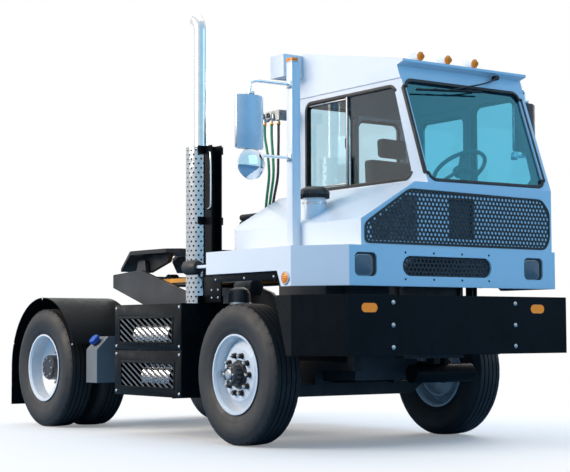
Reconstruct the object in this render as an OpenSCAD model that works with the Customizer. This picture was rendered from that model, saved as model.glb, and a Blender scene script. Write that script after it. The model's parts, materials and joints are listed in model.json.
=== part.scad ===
// Yard truck: two axles, one seat cab set to the left, engine cover on the right,
// lifting fifth wheel boom behind. X forward, Y left, Z up, floor at zero, in millimetres.

/* [Layout] */
// Front axle to rear axle
wheelbase = 2946; // [2900:1:3100]
// Front axle to the bumper's front face
front_overhang = 1202; // [1195:1:1230]

/* [Wheels] */
// Outside diameter of every tyre
tyre_d = 1046; // [1030:1:1060]
// Section width of a tyre
tyre_w = 279; // [265:1:290]
// Bead seat diameter of the rims
rim_d = 571; // [560:1:580]
// Distance between the front tyres' middles
front_track = 1960; // [1940:1:1990]
// Distance between the middles of the rear pairs
rear_track = 1776; // [1760:1:1800]
// Distance between the two tyres of a rear pair
dual_pitch = 343; // [335:1:350]

/* [Frame] */
// Width over the frame rails
frame_w = 864; // [850:1:870]
// Height of a rail
rail_h = 265; // [250:1:280]
// Flange width of a rail
rail_b = 89; // [85:1:95]
// Plate thickness of a rail
rail_t = 10; // [8:0.5:12]
// Height of the rails' top
frame_top = 930; // [920:1:935]

/* [Bumper] */
// Bottom edge of the bumper
bumper_z = 669; // [650:1:680]
// Height of the bumper
bumper_h = 419; // [400:1:425]
// Plate thickness of the bumper
bumper_t = 10; // [8:0.5:12]

/* [Cab] */
// Width over the cab's side walls
cab_w = 1240; // [1200:1:1260]
// Middle of the truck to the cab's left side
cab_left = 1065; // [1050:1:1070]
// Front axle to the cab's front face
cab_set = 1115; // [1110:1:1120]
// Length of the cab from front face to rear wall
cab_l = 1595; // [1580:1:1610]
// Thickness of walls and doors
wall = 45; // [40:1:48]
// Height of the cab floor
floor_z = 1290; // [1280:1:1300]
// Height of the windscreen's foot
belt_z = 1900; // [1890:1:1910]
// Height of the rain gutter
gutter_z = 2697; // [2690:1:2710]
// Lean of the windscreen
rake = 19.9; // [18:0.1:21]
// Height of the roof above the gutter at the rear
roof_rise = 378; // [340:1:400]
// Height of the brow above the gutter
brow_rise = 138; // [125:1:150]

/* [Engine cover] */
// Middle of the truck to the cover's upright side
cover_y = 792; // [780:1:800]
// Height of the upright side's top edge
cover_edge_z = 1616; // [1600:1:1630]
// Height of the ledge round the cover
ledge_z = 1430; // [1425:1:1440]
// Sheet thickness of covers
sheet = 30; // [25:1:32]
// Middle of the truck to the ledge's side panel
ledge_y = 1170; // [1160:1:1180]

/* [Boom] */
// Rear axle to the boom's pivot
boom_reach = 1646; // [1630:1:1660]
// Height of the boom's pivot
boom_z = 830; // [825:1:835]
// Thickness of a boom side plate
boom_t = 30; // [25:1:32]
// Rear axle to the fifth wheel's pivot
plate_x = 330; // [320:1:340]
// Height of the fifth wheel's pivot
plate_z = 1425; // [1420:1:1430]

/* [Exhaust] */
// Outside diameter of the stack pipe
pipe_d = 110; // [102:1:114]
// Height of the stack before its bend
stack_z = 3240; // [3100:1:3300]

/* [Hidden] */
$fn = 48;
fit = 0.5;
slip = 1;
overhang_gap = 95;
fender_t = 6;
tyre_r = tyre_d / 2;
rim_r = rim_d / 2;
fender_r = tyre_r + overhang_gap + fender_t;
overall_l = front_overhang + wheelbase + fender_r;
axle_f = overall_l / 2 - front_overhang;
axle_r = axle_f - wheelbase;
nose_x = overall_l / 2;
rail_y = frame_w / 2;
rail_z = frame_top - rail_h;
rail_in = rail_y - rail_b;
rail_rear = axle_r - fender_r + 34;
rail_front = nose_x - bumper_t;

cab_right = cab_left - cab_w;
cab_x = axle_f + cab_set;
cab_back = cab_x - cab_l;
floor_t = 60;
floor_b = floor_z - floor_t;
front_in = cab_x - wall;
slope = tan(rake);
function lean(z) = cab_x - (z - belt_z) * slope;
gutter_x = lean(gutter_z);
tilt_x = axle_f + 1060;
tilt_z = 1190;
tilt_y = 370;
apron_x = cab_x + 30;
apron_z = 1150;

left_x0 = axle_f - 410;
left_x1 = axle_f + 230;
win_z0 = belt_z + 45;
win_z1 = gutter_z - 51;
door_z0 = floor_z + 5;
door_z1 = gutter_z - 57;
gap = 5;
rear_y0 = 430;
rear_y1 = cab_left - 75;
rear_lap = 25;

boom_x = axle_r + boom_reach;
boom_y = rail_y + 8;
fifth_x = axle_r + plate_x;
lift_x = axle_r + 647;
lift_z = 1280;
base_x = axle_r + 816;
base_z = 700;
lift_y = 230;

stack_x = axle_f - 882;
stack_y = -830;
case_x0 = axle_f - 1768;
case_x1 = axle_f - 724;
case_y = -1110;
case_in = -640;
case_z0 = 325;
case_z1 = 1060;
case_t = 8;

// Hoses behind the cab: the rack's ports, the block on the engine cover, and each route as X and height
hose_r = 11;
hose_top = gutter_z - 207;
hose_foot = cover_edge_z + 4;
route_h = 870;
hang = (hose_top - hose_foot) / route_h;
hose_foot_x = 584;
hose_x = [566, 628, 690];
supply_route = [
    [566, 870], [566, 820], [571, 770], [583, 720], [597, 670], [609, 620], [618, 570], [624, 520],
    [626, 470], [621, 420], [611, 370], [600, 320], [590, 270], [583, 220], [578, 170], [574, 120],
    [572, 70], [572, 30], [572, 0]
];
signal_route = [
    [628, 870], [628, 820], [629, 770], [634, 720], [640, 670], [646, 620], [650, 570], [653, 520],
    [652, 470], [645, 420], [633, 370], [620, 320], [607, 270], [597, 220], [590, 170], [586, 120],
    [584, 70], [584, 30], [584, 0]
];
cable_route = [
    [690, 870], [690, 820], [690, 770], [689, 720], [687, 670], [685, 620], [684, 570], [683, 520],
    [679, 470], [669, 420], [653, 370], [636, 320], [620, 270], [608, 220], [601, 170], [598, 120],
    [596, 70], [596, 30], [596, 0]
];

// Points of a convex outline moved outward by d
function unit(v) = v / norm(v);
function bisect(p, a, b) = unit(unit(a - p) + unit(b - p));
function half_sin(p, a, b) = sqrt((1 - unit(a - p) * unit(b - p)) / 2);
function grow(p, d) = [
    for (i = [0:len(p) - 1])
        let (a = p[(i + len(p) - 1) % len(p)], b = p[(i + 1) % len(p)])
        p[i] - bisect(p[i], a, b) * d / half_sin(p[i], a, b)
];
// Corners of a convex outline replaced by short arcs of radius r
function corner(p, a, b, r, n) =
    let (h = half_sin(p, a, b), c = p + bisect(p, a, b) * r / h, t = r * sqrt(1 - h * h) / h)
    let (from = p + unit(a - p) * t - c, to = p + unit(b - p) * t - c)
    [for (k = [0:n]) c + r * unit(from * (1 - k / n) + to * k / n)];
function soft(p, r, n = 5) = [
    for (i = [0:len(p) - 1])
        for (q = corner(p[i], p[(i + len(p) - 1) % len(p)], p[(i + 1) % len(p)], r, n)) q
];

module block(x0, x1, y0, y1, z0, z1) {
    translate([x0, y0, z0]) cube([x1 - x0, y1 - y0, z1 - z0]);
}
// Outline in X and Z drawn out along Y
module along_y(y0, y1) {
    translate([0, y1, 0]) rotate([90, 0, 0]) linear_extrude(y1 - y0) children();
}
// Outline in Y and Z drawn out along X
module along_x(x0, x1) {
    translate([x0, 0, 0]) rotate([90, 0, 90]) linear_extrude(x1 - x0) children();
}
// Outline in X and Y drawn out along Z
module along_z(z0, z1) {
    translate([0, 0, z0]) linear_extrude(z1 - z0) children();
}
module rod_y(x, y0, y1, z, r) {
    translate([x, y0, z]) rotate([-90, 0, 0]) cylinder(h = y1 - y0, r = r);
}
module rod_x(x0, x1, y, z, r) {
    translate([x0, y, z]) rotate([0, 90, 0]) cylinder(h = x1 - x0, r = r);
}
module rod_z(x, y, z0, z1, r) {
    translate([x, y, z0]) cylinder(h = z1 - z0, r = r);
}
module both_sides() {
    children();
    mirror([0, 1, 0]) children();
}
module pill(w, h) {
    square([w - h, h], center = true);
    for (s = [-1, 1]) translate([s * (w - h) / 2, 0]) circle(d = h);
}
module round_square(w, h, r) {
    square([w - 2 * r, h], center = true);
    square([w, h - 2 * r], center = true);
    for (s = [-1, 1], t = [-1, 1]) translate([s * (w / 2 - r), t * (h / 2 - r)]) circle(r);
}

// Frame
module frame_rails() {
    color("#1d1e20") both_sides() along_x(rail_rear, rail_front) polygon([
        [rail_y, rail_z], [rail_y, frame_top], [rail_in, frame_top], [rail_in, frame_top - rail_t],
        [rail_y - rail_t, frame_top - rail_t], [rail_y - rail_t, rail_z + rail_t],
        [rail_in, rail_z + rail_t], [rail_in, rail_z]
    ]);
}

beam_w = 80;
pivot_r = 45;
pin_r = 20;
arm_t = 12;
ear_t = 24;
module cross_beam(x) {
    block(x, x + beam_w, -rail_y + rail_t, rail_y - rail_t, rail_z + rail_t, frame_top - rail_t);
}
module tilt_arm(y) {
    along_y(y, y + arm_t) polygon([
        [tilt_x - 130, frame_top], [tilt_x - 60, frame_top], [tilt_x - 60, tilt_z - 25],
        [tilt_x + 22, tilt_z - 25], [tilt_x + 22, tilt_z + 25], [tilt_x - 130, tilt_z + 25]
    ]);
}
rest_x = cab_back + 70;
rest_y = cab_left - 365;
rest_h = 100;
barrel_r = 46;
base_pin = 25;
lug_t = 12;
lug_y = barrel_r + 2;
module crossmembers() {
    color("#1d1e20") {
        cross_beam(axle_f + 960);
        cross_beam(boom_x - beam_w / 2);
        cross_beam(base_x + 70);
        cross_beam(rail_rear);
        both_sides() {
            rod_y(boom_x, rail_y, boom_y + boom_t + fit, boom_z, pivot_r);
            rod_y(boom_x, boom_y + boom_t + slip, boom_y + boom_t + 12, boom_z, pivot_r + 15);
            rod_y(boom_x, boom_y + boom_t, boom_y + boom_t + 3, boom_z, pivot_r - 5);
            for (s = [0, 1]) tilt_arm(tilt_y - ear_t / 2 - slip - arm_t + s * (ear_t + 2 * slip + arm_t));
            rod_y(tilt_x, tilt_y - ear_t, tilt_y + ear_t, tilt_z, pin_r);
            rod_y(base_x, lift_y - lug_y - lug_t, lift_y + lug_y + lug_t, base_z, base_pin);
            for (y = [lift_y - lug_y - lug_t, lift_y + lug_y])
                block(base_x - 40, base_x + 70, y, y + lug_t, base_z - 30, base_z + 60);
        }
        block(rest_x, rest_x + beam_w, -rail_y, rest_y, frame_top, frame_top + rest_h);
        for (y = [0, rest_y - beam_w])
            block(rest_x, rest_x + beam_w, y, y + beam_w, frame_top + rest_h, floor_b - fit);
    }
}

// Front bumper with its sloped right corner
bump_right = -980;
bump_left = 1120;
bump_side = -1219;
bump_cut = 327;
bump_back = 509;
flange = 60;
lamp_y = [-792, 817];
lamp_w = 142;
lamp_h = 64;
lamp_z = 998;
module bumper_strip(t) {
    polygon([
        [nose_x - bump_back, bump_side], [nose_x - bump_cut, bump_side], [nose_x, bump_right],
        [nose_x, bump_left], [nose_x - 150, bump_left], [nose_x - 150, bump_left - t],
        [nose_x - t, bump_left - t], [nose_x - t, bump_right + t * 0.45],
        [nose_x - bump_cut - t * 0.3, bump_side + t], [nose_x - bump_back, bump_side + t]
    ]);
}
module front_bumper() {
    color("#18191b") difference() {
        union() {
            along_z(bumper_z, bumper_z + bumper_h) bumper_strip(bumper_t);
            along_z(bumper_z + bumper_h - bumper_t, bumper_z + bumper_h) bumper_strip(flange);
        }
        for (y = lamp_y) translate([0, y, lamp_z]) along_x(nose_x - 50, nose_x + 10) pill(lamp_w, lamp_h);
        along_y(bump_side - 10, bump_side + flange + 10) polygon([
            [nose_x - bump_back - 1, bumper_z - 1], [nose_x - bump_back + 124, bumper_z - 1],
            [nose_x - bump_back, bumper_z + bumper_h - bumper_t - 20],
            [nose_x - bump_back - 1, bumper_z + bumper_h]
        ]);
    }
}
module chassis_lamps() {
    color("#e8850c") for (y = lamp_y) translate([0, y, lamp_z])
        along_x(nose_x - 40, nose_x - 2) pill(lamp_w - 2 * fit, lamp_h - 2 * fit);
    color("#b01010") both_sides()
        block(rail_rear - 30, rail_rear, rail_in, rail_y, rail_z + 60, rail_z + 190);
}

// Axles
king_y = front_track / 2 - 150;
eye_h = 60;
eye_r = 55;
king_r = 22;
axle_lift = 345;
beam_b = 50;
drop_out = king_y - 90;
drop_in = king_y - 270;
spring_y = (rail_in + rail_y) / 2;
spring_l = 1040;
spring_b = 38;
leaf_z0 = rail_z - 120;
leaf_z1 = rail_z - 60;
module front_axle() {
    color("#232427") {
        difference() {
            union() {
                along_x(axle_f - beam_b, axle_f + beam_b) polygon([
                    [-king_y, tyre_r - eye_h], [-drop_out, tyre_r - eye_h], [-drop_in, axle_lift],
                    [drop_in, axle_lift], [drop_out, tyre_r - eye_h], [king_y, tyre_r - eye_h],
                    [king_y, tyre_r + eye_h], [drop_out - 20, tyre_r + eye_h],
                    [drop_in - 20, axle_lift + 2 * beam_b], [20 - drop_in, axle_lift + 2 * beam_b],
                    [20 - drop_out, tyre_r + eye_h], [-king_y, tyre_r + eye_h]
                ]);
                both_sides() rod_z(axle_f, king_y, tyre_r - eye_h, tyre_r + eye_h, eye_r);
                both_sides() {
                    block(axle_f - 90, axle_f + 90, spring_y - spring_b, spring_y + spring_b,
                        axle_lift + 2 * beam_b - 10, leaf_z0 + 30);
                    block(axle_f - spring_l / 2, axle_f + spring_l / 2,
                        spring_y - spring_b, spring_y + spring_b, leaf_z0, leaf_z1);
                    for (s = [-1, 1]) block(axle_f + s * spring_l / 2 - 40, axle_f + s * spring_l / 2 + 40,
                        spring_y - spring_b, spring_y + spring_b, leaf_z0, rail_z);
                }
            }
            both_sides() rod_z(axle_f, king_y, tyre_r - eye_h - 1, tyre_r + eye_h + 1, king_r + fit);
        }
    }
}
hub_r = 60;
axle_end = rear_track / 2 + 190;
bowl_r = 205;
pinion_l = 330;
module rear_axle() {
    color("#232427") {
        rod_y(axle_r, -rear_track / 2 + 300, rear_track / 2 - 300, tyre_r, 85);
        rod_y(axle_r, -axle_end, axle_end, tyre_r, hub_r);
        rod_x(axle_r - 150, axle_r + 130, 0, tyre_r, bowl_r);
        rod_x(axle_r, axle_r + pinion_l, 0, tyre_r, 95);
        both_sides() block(axle_r - 150, axle_r + 150, rail_in, rail_y, tyre_r, rail_z);
    }
}

// Power train and cooling
engine_x0 = axle_f - 310;
engine_x1 = axle_f + 420;
engine_y = 300;
engine_z0 = 470;
engine_z1 = floor_b - 40;
intake_w = 480;
gear_x0 = boom_x + beam_w / 2 + 110;
gear_y = 190;
gear_z0 = 440;
gear_z1 = 900;
shaft_r = 50;
module engine() {
    color("#3a3d40") {
        block(engine_x0, engine_x1, -engine_y, engine_y, engine_z0, engine_z1);
        block(engine_x0 + 10, engine_x1 - 120, -intake_w, cab_right - 30, engine_z1 - 190, ledge_z + 50);
        block(gear_x0, engine_x0 + 10, -gear_y, gear_y, gear_z0, gear_z1);
        rod_x(axle_r + pinion_l, gear_x0 + 1, 0, tyre_r, shaft_r);
    }
}
rad_x0 = axle_f + 870;
rad_x1 = axle_f + 960;
rad_y = 290;
rad_z0 = 640;
rad_z1 = 1200;
rad_b = 30;
module radiator() {
    color("#2a2c2e") difference() {
        block(rad_x0, rad_x1, -rad_y, rad_y, rad_z0, rad_z1);
        block(rad_x1 - 20, rad_x1 + 1, -rad_y + rad_b, rad_y - rad_b, frame_top + 10, rad_z1 - rad_b);
    }
}

// Exhaust case on the right side, with two lattice windows
mesh_w = 820;
mesh_h = 186;
mesh_pitch = 41;
mesh_gap = 29;
mesh_a = 34;
module lattice_cut(x, z) {
    slant = mesh_h / tan(mesh_a);
    along_y(case_y - 1, case_y + case_t + 1) intersection() {
        translate([x, z]) square([mesh_w, mesh_h]);
        for (u = [x:mesh_pitch:x + mesh_w + slant]) polygon([
            [u, z], [u + mesh_gap, z], [u + mesh_gap - slant, z + mesh_h], [u - slant, z + mesh_h]
        ]);
    }
}
muffler_z = 690;
muffler_r = 170;
neck_r = 110;
module exhaust_case() {
    color("#1b1c1e") {
        difference() {
            block(case_x0, case_x1, case_y, case_in, case_z0, case_z1);
            block(case_x0 + case_t, case_x1 - case_t, case_y + case_t, case_in - case_t,
                case_z0 + case_t, case_z1 - case_t);
            lattice_cut(case_x0 + 85, 758);
            lattice_cut(case_x0 + 110, 400);
            rod_z(stack_x, stack_y, case_z1 - 20, case_z1 + 10, pipe_d / 2 + 6);
        }
        for (x = [case_x0 + 60, case_x1 - 160]) block(x, x + 100, case_in, -rail_y, rail_z + 15, rail_z + 85);
    }
}
bend_r = 130;
module exhaust_stack() {
    color("#b9bcc0") {
        rod_x(case_x0 + 60, case_x1 - 90, stack_y, muffler_z, muffler_r);
        rod_x(case_x0 + 20, case_x0 + 60, stack_y, muffler_z, neck_r);
        rod_z(stack_x, stack_y, muffler_z, stack_z, pipe_d / 2);
        translate([stack_x - bend_r, stack_y, stack_z]) rotate([90, 0, 0])
            rotate_extrude(angle = 62) translate([bend_r, 0]) circle(d = pipe_d);
    }
}
guard_r = 118;
guard_t = 3;
guard_z0 = case_z1;
guard_z1 = 2304;
post_x0 = stack_x + 137;
post_x1 = stack_x + 232;
module guard_plan(r) {
    circle(r);
    translate([0, -r]) square([post_x0 - stack_x, 2 * r]);
}
module stack_guard() {
    color("#c4c7ca") difference() {
        along_z(guard_z0, guard_z1) translate([stack_x, stack_y]) guard_plan(guard_r);
        along_z(guard_z0 - 1, guard_z1 + 1) translate([stack_x, stack_y]) guard_plan(guard_r - guard_t);
        block(post_x0, post_x0 + 50, stack_y - 200, stack_y + 200, guard_z0 - 1, guard_z1 + 1);
    }
}
module stack_support() {
    color("#17181a") {
        difference() {
            block(post_x0, post_x1, stack_y - 50, stack_y + 50, case_z1, guard_z1);
            block(post_x0 + 10, post_x1 + 1, stack_y - 40, stack_y + 40, case_z1 - 1, guard_z1 + 1);
        }
        for (z = [guard_z0, (guard_z0 + guard_z1) / 2, guard_z1 - 60])
            block(post_x0, post_x0 + 10, stack_y - guard_r, stack_y + guard_r, z, z + 60);
        for (z = [guard_z0 + 320, guard_z1 - 100]) difference() {
            union() {
                rod_z(stack_x, stack_y, z, z + 40, pipe_d / 2 + 10);
                block(stack_x + pipe_d / 2, post_x0 + 5, stack_y - 20, stack_y + 20, z, z + 40);
            }
            rod_z(stack_x, stack_y, z - 1, z + 41, pipe_d / 2 + fit);
        }
    }
}

// Tanks, fenders, steps and deck
def_x0 = case_x0 - 496;
def_x1 = case_x0 - 309;
def_in = -860;
def_z0 = 428;
def_z1 = 800;
def_cut = 110;
cap_r = 38;
cap_l = 60;
module def_tank() {
    color("#55585b") {
        along_x(def_x0, def_x1) polygon([
            [case_y, def_z0], [def_in, def_z0], [def_in, def_z1],
            [case_y + def_cut, def_z1], [case_y, def_z1 - def_cut]
        ]);
        translate([(def_x0 + def_x1) / 2, case_y + def_cut / 2, def_z1 - def_cut / 2]) rotate([45, 0, 0])
            translate([0, 0, -1]) cylinder(h = cap_l, r = cap_r);
        block(def_x0, def_x1, case_y, -rail_y, def_z0 - 20, def_z0);
        block(def_x0, def_x1, -rail_y - 20, -rail_y, def_z0 - 20, rail_z + 115);
    }
}
fender_y0 = 545;
fender_y1 = 1190;
flap_z = 177;
fender_a = 20;
brace_a = 24;
brace_r = 20;
module fender() {
    difference() {
        rod_y(axle_r, fender_y0, fender_y1, tyre_r, fender_r);
        rod_y(axle_r, fender_y0 - 1, fender_y1 + 1, tyre_r, fender_r - fender_t);
        along_y(fender_y0 - 2, fender_y1 + 2) polygon([
            [axle_r - 2 * fender_r, -fender_r], [axle_r + 2 * fender_r, -fender_r],
            [axle_r + 2 * fender_r, tyre_r + 2 * fender_r * tan(fender_a)], [axle_r, tyre_r],
            [axle_r - 2 * fender_r, tyre_r]
        ]);
    }
    block(axle_r - fender_r, axle_r - fender_r + fender_t, fender_y0, fender_y1, flap_z, tyre_r + 1);
    for (s = [-1, 1]) rod_y(axle_r + s * fender_r * cos(brace_a), rail_y, fender_y0 + 60,
        tyre_r + fender_r * sin(brace_a), brace_r);
}
module rear_fenders() {
    color("#1a1b1c") both_sides() fender();
}
tank_r = 285;
tank_y = 775;
tank_z = 640;
strap_w = 80;
tank_x0 = axle_f - 1950;
tank_x1 = axle_f - 1090;
module fuel_tank() {
    color("#202123") {
        rod_x(tank_x0, tank_x1, tank_y, tank_z, tank_r);
        for (x = [tank_x0 + 140, tank_x1 - 100])
            block(x, x + strap_w, rail_y, tank_y, rail_z + 15, rail_z + 95);
        rod_z(tank_x1 - 110, tank_y + 120, tank_z, tank_z + tank_r + 15, 50);
    }
}
step_x0 = axle_f - 1030;
step_x1 = axle_f - 650;
step_t = 12;
foot_in = 780;
foot_y = 1080;
foot_z = [400, 690, 900];
module entry_steps() {
    color("#202123") {
        for (x = [step_x0, step_x1 - step_t]) {
            block(x, x + step_t, rail_y, foot_y, foot_z[1] - 10, foot_z[2]);
            block(x, x + step_t, foot_in - 20, foot_y, foot_z[0] - 20, foot_z[1]);
        }
        for (z = [foot_z[0], foot_z[1]]) block(step_x0, step_x1, foot_in, foot_y, z, z + 30);
        block(step_x0, step_x1, foot_in - 140, foot_y - 80, foot_z[2] - 20, foot_z[2]);
    }
}
deck_y = 418;
deck_x0 = lift_x + 120;
deck_x1 = axle_f - 640;
deck_z = 1300;
deck_t = 12;
deck_h = 60;
walk_y = 1000;
leg_w = 60;
module rear_deck() {
    color("#e0620f") {
        difference() {
            block(deck_x0, deck_x1, -deck_y, deck_y, deck_z - deck_h, deck_z);
            block(deck_x0 + deck_t, deck_x1 - deck_t, -deck_y + deck_t, deck_y - deck_t,
                deck_z - deck_h - 1, deck_z - deck_t);
        }
        block(step_x0 - 20, deck_x1, deck_y - 1, walk_y, deck_z - 30, deck_z);
        both_sides() for (x = [deck_x0 + 20, step_x0 + 30])
            block(x, x + leg_w, deck_y - 50, deck_y - 10, frame_top, deck_z - deck_t - 1);
    }
}
air_x = axle_f + 640;
air_y0 = 60;
air_l = 580;
air_z = 520;
air_r = 70;
module air_tank() {
    color("#151617") {
        rod_y(air_x, air_y0, air_y0 + air_l, air_z, air_r);
        block(air_x - 25, air_x + 25, spring_y - 20, spring_y + 20, air_z + air_r - 30, rail_z);
    }
}

// Steered ends of the front axle
module knuckle() {
    rod_y(axle_f, king_y + 70, front_track / 2 + 30, tyre_r, 45);
    for (s = [-1, 1]) {
        rod_z(axle_f, king_y, tyre_r + s * (eye_h + 21) - 19, tyre_r + s * (eye_h + 21) + 19, 50);
        block(axle_f - 45, axle_f + 45, king_y, king_y + 92, tyre_r + s * (eye_h + 21) - 19,
            tyre_r + s * (eye_h + 21) + 19);
    }
    block(axle_f - 45, axle_f + 45, king_y + 62, king_y + 92, tyre_r - eye_h - 40, tyre_r + eye_h + 40);
    rod_z(axle_f, king_y, tyre_r - eye_h - 20, tyre_r + eye_h + 20, king_r);
}
module knuckle_left() {
    color("#2b2c2e") knuckle();
}
module knuckle_right() {
    color("#2b2c2e") mirror([0, 1, 0]) knuckle();
}

// Wheels, each drawn round its own axle line and then set in place
module spun(x, y, turn) {
    translate([x, y, tyre_r]) rotate([-90 * turn, 0, 0]) rotate_extrude($fn = 72) children();
}
tread_w = tyre_w * 0.76;
module tyre_shape() {
    polygon([
        [rim_r + 1, -100], [rim_r + 14, -112], [tyre_r * 0.68, -tyre_w / 2 + 6], [tyre_r * 0.8, -tyre_w / 2],
        [tyre_r * 0.93, -tyre_w / 2 + 14], [tyre_r - 10, -tread_w / 2], [tyre_r, -tread_w / 2 + 26],
        [tyre_r, tread_w / 2 - 26], [tyre_r - 10, tread_w / 2], [tyre_r * 0.93, tyre_w / 2 - 14],
        [tyre_r * 0.8, tyre_w / 2], [tyre_r * 0.68, tyre_w / 2 - 6], [rim_r + 14, 112], [rim_r + 1, 100]
    ]);
}
module rim_shape() {
    polygon([
        [rim_r + 12, -118], [rim_r + 12, -113], [rim_r, -100], [rim_r, 100], [rim_r + 12, 113],
        [rim_r + 12, 118], [rim_r - 2, 118], [rim_r - 14, 100], [rim_r - 14, -100], [rim_r - 2, -118]
    ]);
}
module disc_shape(s) {
    p = [
        [95, s * 62], [185, s * 62], [rim_r - 20, 0], [rim_r - 10, 0], [rim_r - 10, s * 16],
        [195, s * 78], [95, s * 78]
    ];
    polygon(s > 0 ? p : [for (i = [len(p) - 1:-1:0]) p[i]]);
}
hand_holes = 2;
module hand_hole(s) {
    for (i = [0:hand_holes - 1]) rotate([0, 0, i * 360 / hand_holes])
        translate([236, 0, s * 30]) rotate([0, s * 52, 0]) cylinder(h = 90, r = 27, center = true);
}
module front_rim(turn) {
    translate([axle_f, turn * front_track / 2, tyre_r]) rotate([-90 * turn, 0, 0]) difference() {
        rotate_extrude($fn = 72) {
            rim_shape();
            disc_shape(1);
            polygon([[45 + fit, -45], [105, -45], [105, 78], [95, 100], [82, 100], [82, 150], [70, 165],
                [0, 165], [0, 60], [45 + fit, 60]]);
            polygon([[195, -95], [208, -95], [208, -20], [100, -20], [100, -34], [195, -34]]);
        }
        hand_hole(1);
    }
}
module front_tyre(turn) {
    spun(axle_f, turn * front_track / 2, turn) tyre_shape();
}
module rear_rims(turn) {
    h = dual_pitch / 2;
    translate([axle_r, turn * rear_track / 2, tyre_r]) rotate([-90 * turn, 0, 0]) difference() {
        rotate_extrude($fn = 72) {
            translate([0, h]) rim_shape();
            translate([0, h]) disc_shape(-1);
            translate([0, -h]) rim_shape();
            translate([0, -h]) disc_shape(1);
            polygon([[95, -h + 62], [150, -h + 62], [150, h - 62], [95, h - 62]]);
            polygon([[hub_r + fit, -h - 40], [110, -h - 40], [110, h + 60], [100, h + 75], [0, h + 75],
                [0, 195 + 5], [hub_r + fit, 195 + 5]]);
            translate([0, -h]) polygon([[200, -95], [214, -95], [214, 40], [100, 40], [100, 26], [200, 26]]);
        }
        translate([0, 0, h]) hand_hole(-1);
        translate([0, 0, -h]) hand_hole(1);
    }
}
module rear_tyres(turn) {
    for (s = [-1, 1]) spun(axle_r, turn * (rear_track / 2 + s * dual_pitch / 2), turn) tyre_shape();
}
module front_rim_left() {
    color("#e9ebec") front_rim(1);
}
module front_rim_right() {
    color("#e9ebec") front_rim(-1);
}
module front_tyre_left() {
    color("#141414") front_tyre(1);
}
module front_tyre_right() {
    color("#141414") front_tyre(-1);
}
module rear_rims_left() {
    color("#e9ebec") rear_rims(1);
}
module rear_rims_right() {
    color("#e9ebec") rear_rims(-1);
}
module rear_tyres_left() {
    color("#141414") rear_tyres(1);
}
module rear_tyres_right() {
    color("#141414") rear_tyres(-1);
}

// Lifting boom and fifth wheel
lift_r = 40;
trunnion_r = 35;
box_z0 = 1290;
box_z1 = 1340;
ear_y = 325;
ear_w = 40;
module boom_plate() {
    difference() {
        union() {
            along_y(boom_y, boom_y + boom_t) polygon([
                [boom_x, boom_z - 100], [axle_r + 561, 1077], [axle_r - 4, 1244], [axle_r - 5, 1364],
                [axle_r + 489, 1392], [axle_r + 1234, 1186], [boom_x, boom_z + 100]
            ]);
            rod_y(boom_x, boom_y, boom_y + boom_t, boom_z, 100);
        }
        rod_y(boom_x, boom_y - 1, boom_y + boom_t + 1, boom_z, pivot_r + fit);
    }
}
module lift_boom() {
    color("#1a1b1d") {
        both_sides() boom_plate();
        rod_y(lift_x, -boom_y - 1, boom_y + 1, lift_z, lift_r);
        block(axle_r + 30, axle_r + 420, -boom_y - 1, boom_y + 1, box_z0, box_z1);
        both_sides() {
            along_y(ear_y, ear_y + ear_w) polygon([
                [fifth_x - 110, box_z1 - 5], [fifth_x + 90, box_z1 - 5], [fifth_x + 60, plate_z + 60],
                [fifth_x - 60, plate_z + 60]
            ]);
            rod_y(fifth_x, ear_y - 50, ear_y + 1, plate_z, trunnion_r);
        }
    }
}
plate_front = fifth_x + 610;
plate_back = fifth_x - 350;
plate_top = plate_z + 145;
plate_t = 36;
throat = 55;
module plate_plan() {
    difference() {
        polygon([
            [plate_front, -330], [plate_front, 330], [plate_front - 80, 430], [plate_front - 420, 457],
            [fifth_x - 60, 457], [plate_back, 380], [plate_back, -380], [fifth_x - 60, -457],
            [plate_front - 420, -457], [plate_front - 80, -430]
        ]);
        polygon([
            [plate_back - 1, -230], [plate_back - 1, 230], [fifth_x - 150, throat], [fifth_x, throat],
            [fifth_x, -throat], [fifth_x - 150, -throat]
        ]);
        translate([fifth_x, 0]) circle(throat);
    }
}
module fifth_wheel() {
    color("#16171a") difference() {
        union() {
            intersection() {
                along_z(plate_z - 200, plate_top) plate_plan();
                along_y(-500, 500) polygon([
                    [plate_front, plate_top], [fifth_x - 40, plate_top], [plate_back, plate_top - 145],
                    [plate_back, plate_top - 175], [fifth_x - 40, plate_top - plate_t],
                    [plate_front, plate_top - plate_t]
                ]);
            }
            both_sides() along_y(ear_y - 48, ear_y - 8) polygon([
                [fifth_x + 420, plate_top - plate_t - 1], [fifth_x - 60, plate_top - plate_t - 1],
                [fifth_x - 60, plate_z - 50],
                [fifth_x + 60, plate_z - 50], [fifth_x + 380, plate_top - 110]
            ]);
        }
        both_sides() rod_y(fifth_x, ear_y - 60, ear_y, plate_z, trunnion_r + fit);
    }
}
lift_len = sqrt(pow(lift_x - base_x, 2) + pow(lift_z - base_z, 2));
lift_ang = atan2(base_x - lift_x, lift_z - base_z);
barrel_l = 345;
ram_r = 30;
module on_lift(y) {
    translate([base_x, y, base_z]) rotate([0, -lift_ang, 0]) children();
}
module lift_barrels() {
    color("#1c1d1f") both_sides() on_lift(lift_y) difference() {
        union() {
            cylinder(h = barrel_l, r = barrel_r);
            rotate([90, 0, 0]) cylinder(h = 2 * barrel_r - 32, r = barrel_r + 4, center = true);
        }
        translate([0, 0, 80]) cylinder(h = barrel_l, r = ram_r + fit);
        rotate([90, 0, 0]) cylinder(h = 100, r = base_pin + fit, center = true);
    }
}
eye_in = 57;
eye_w = 76;
ram_l = 345;
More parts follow.
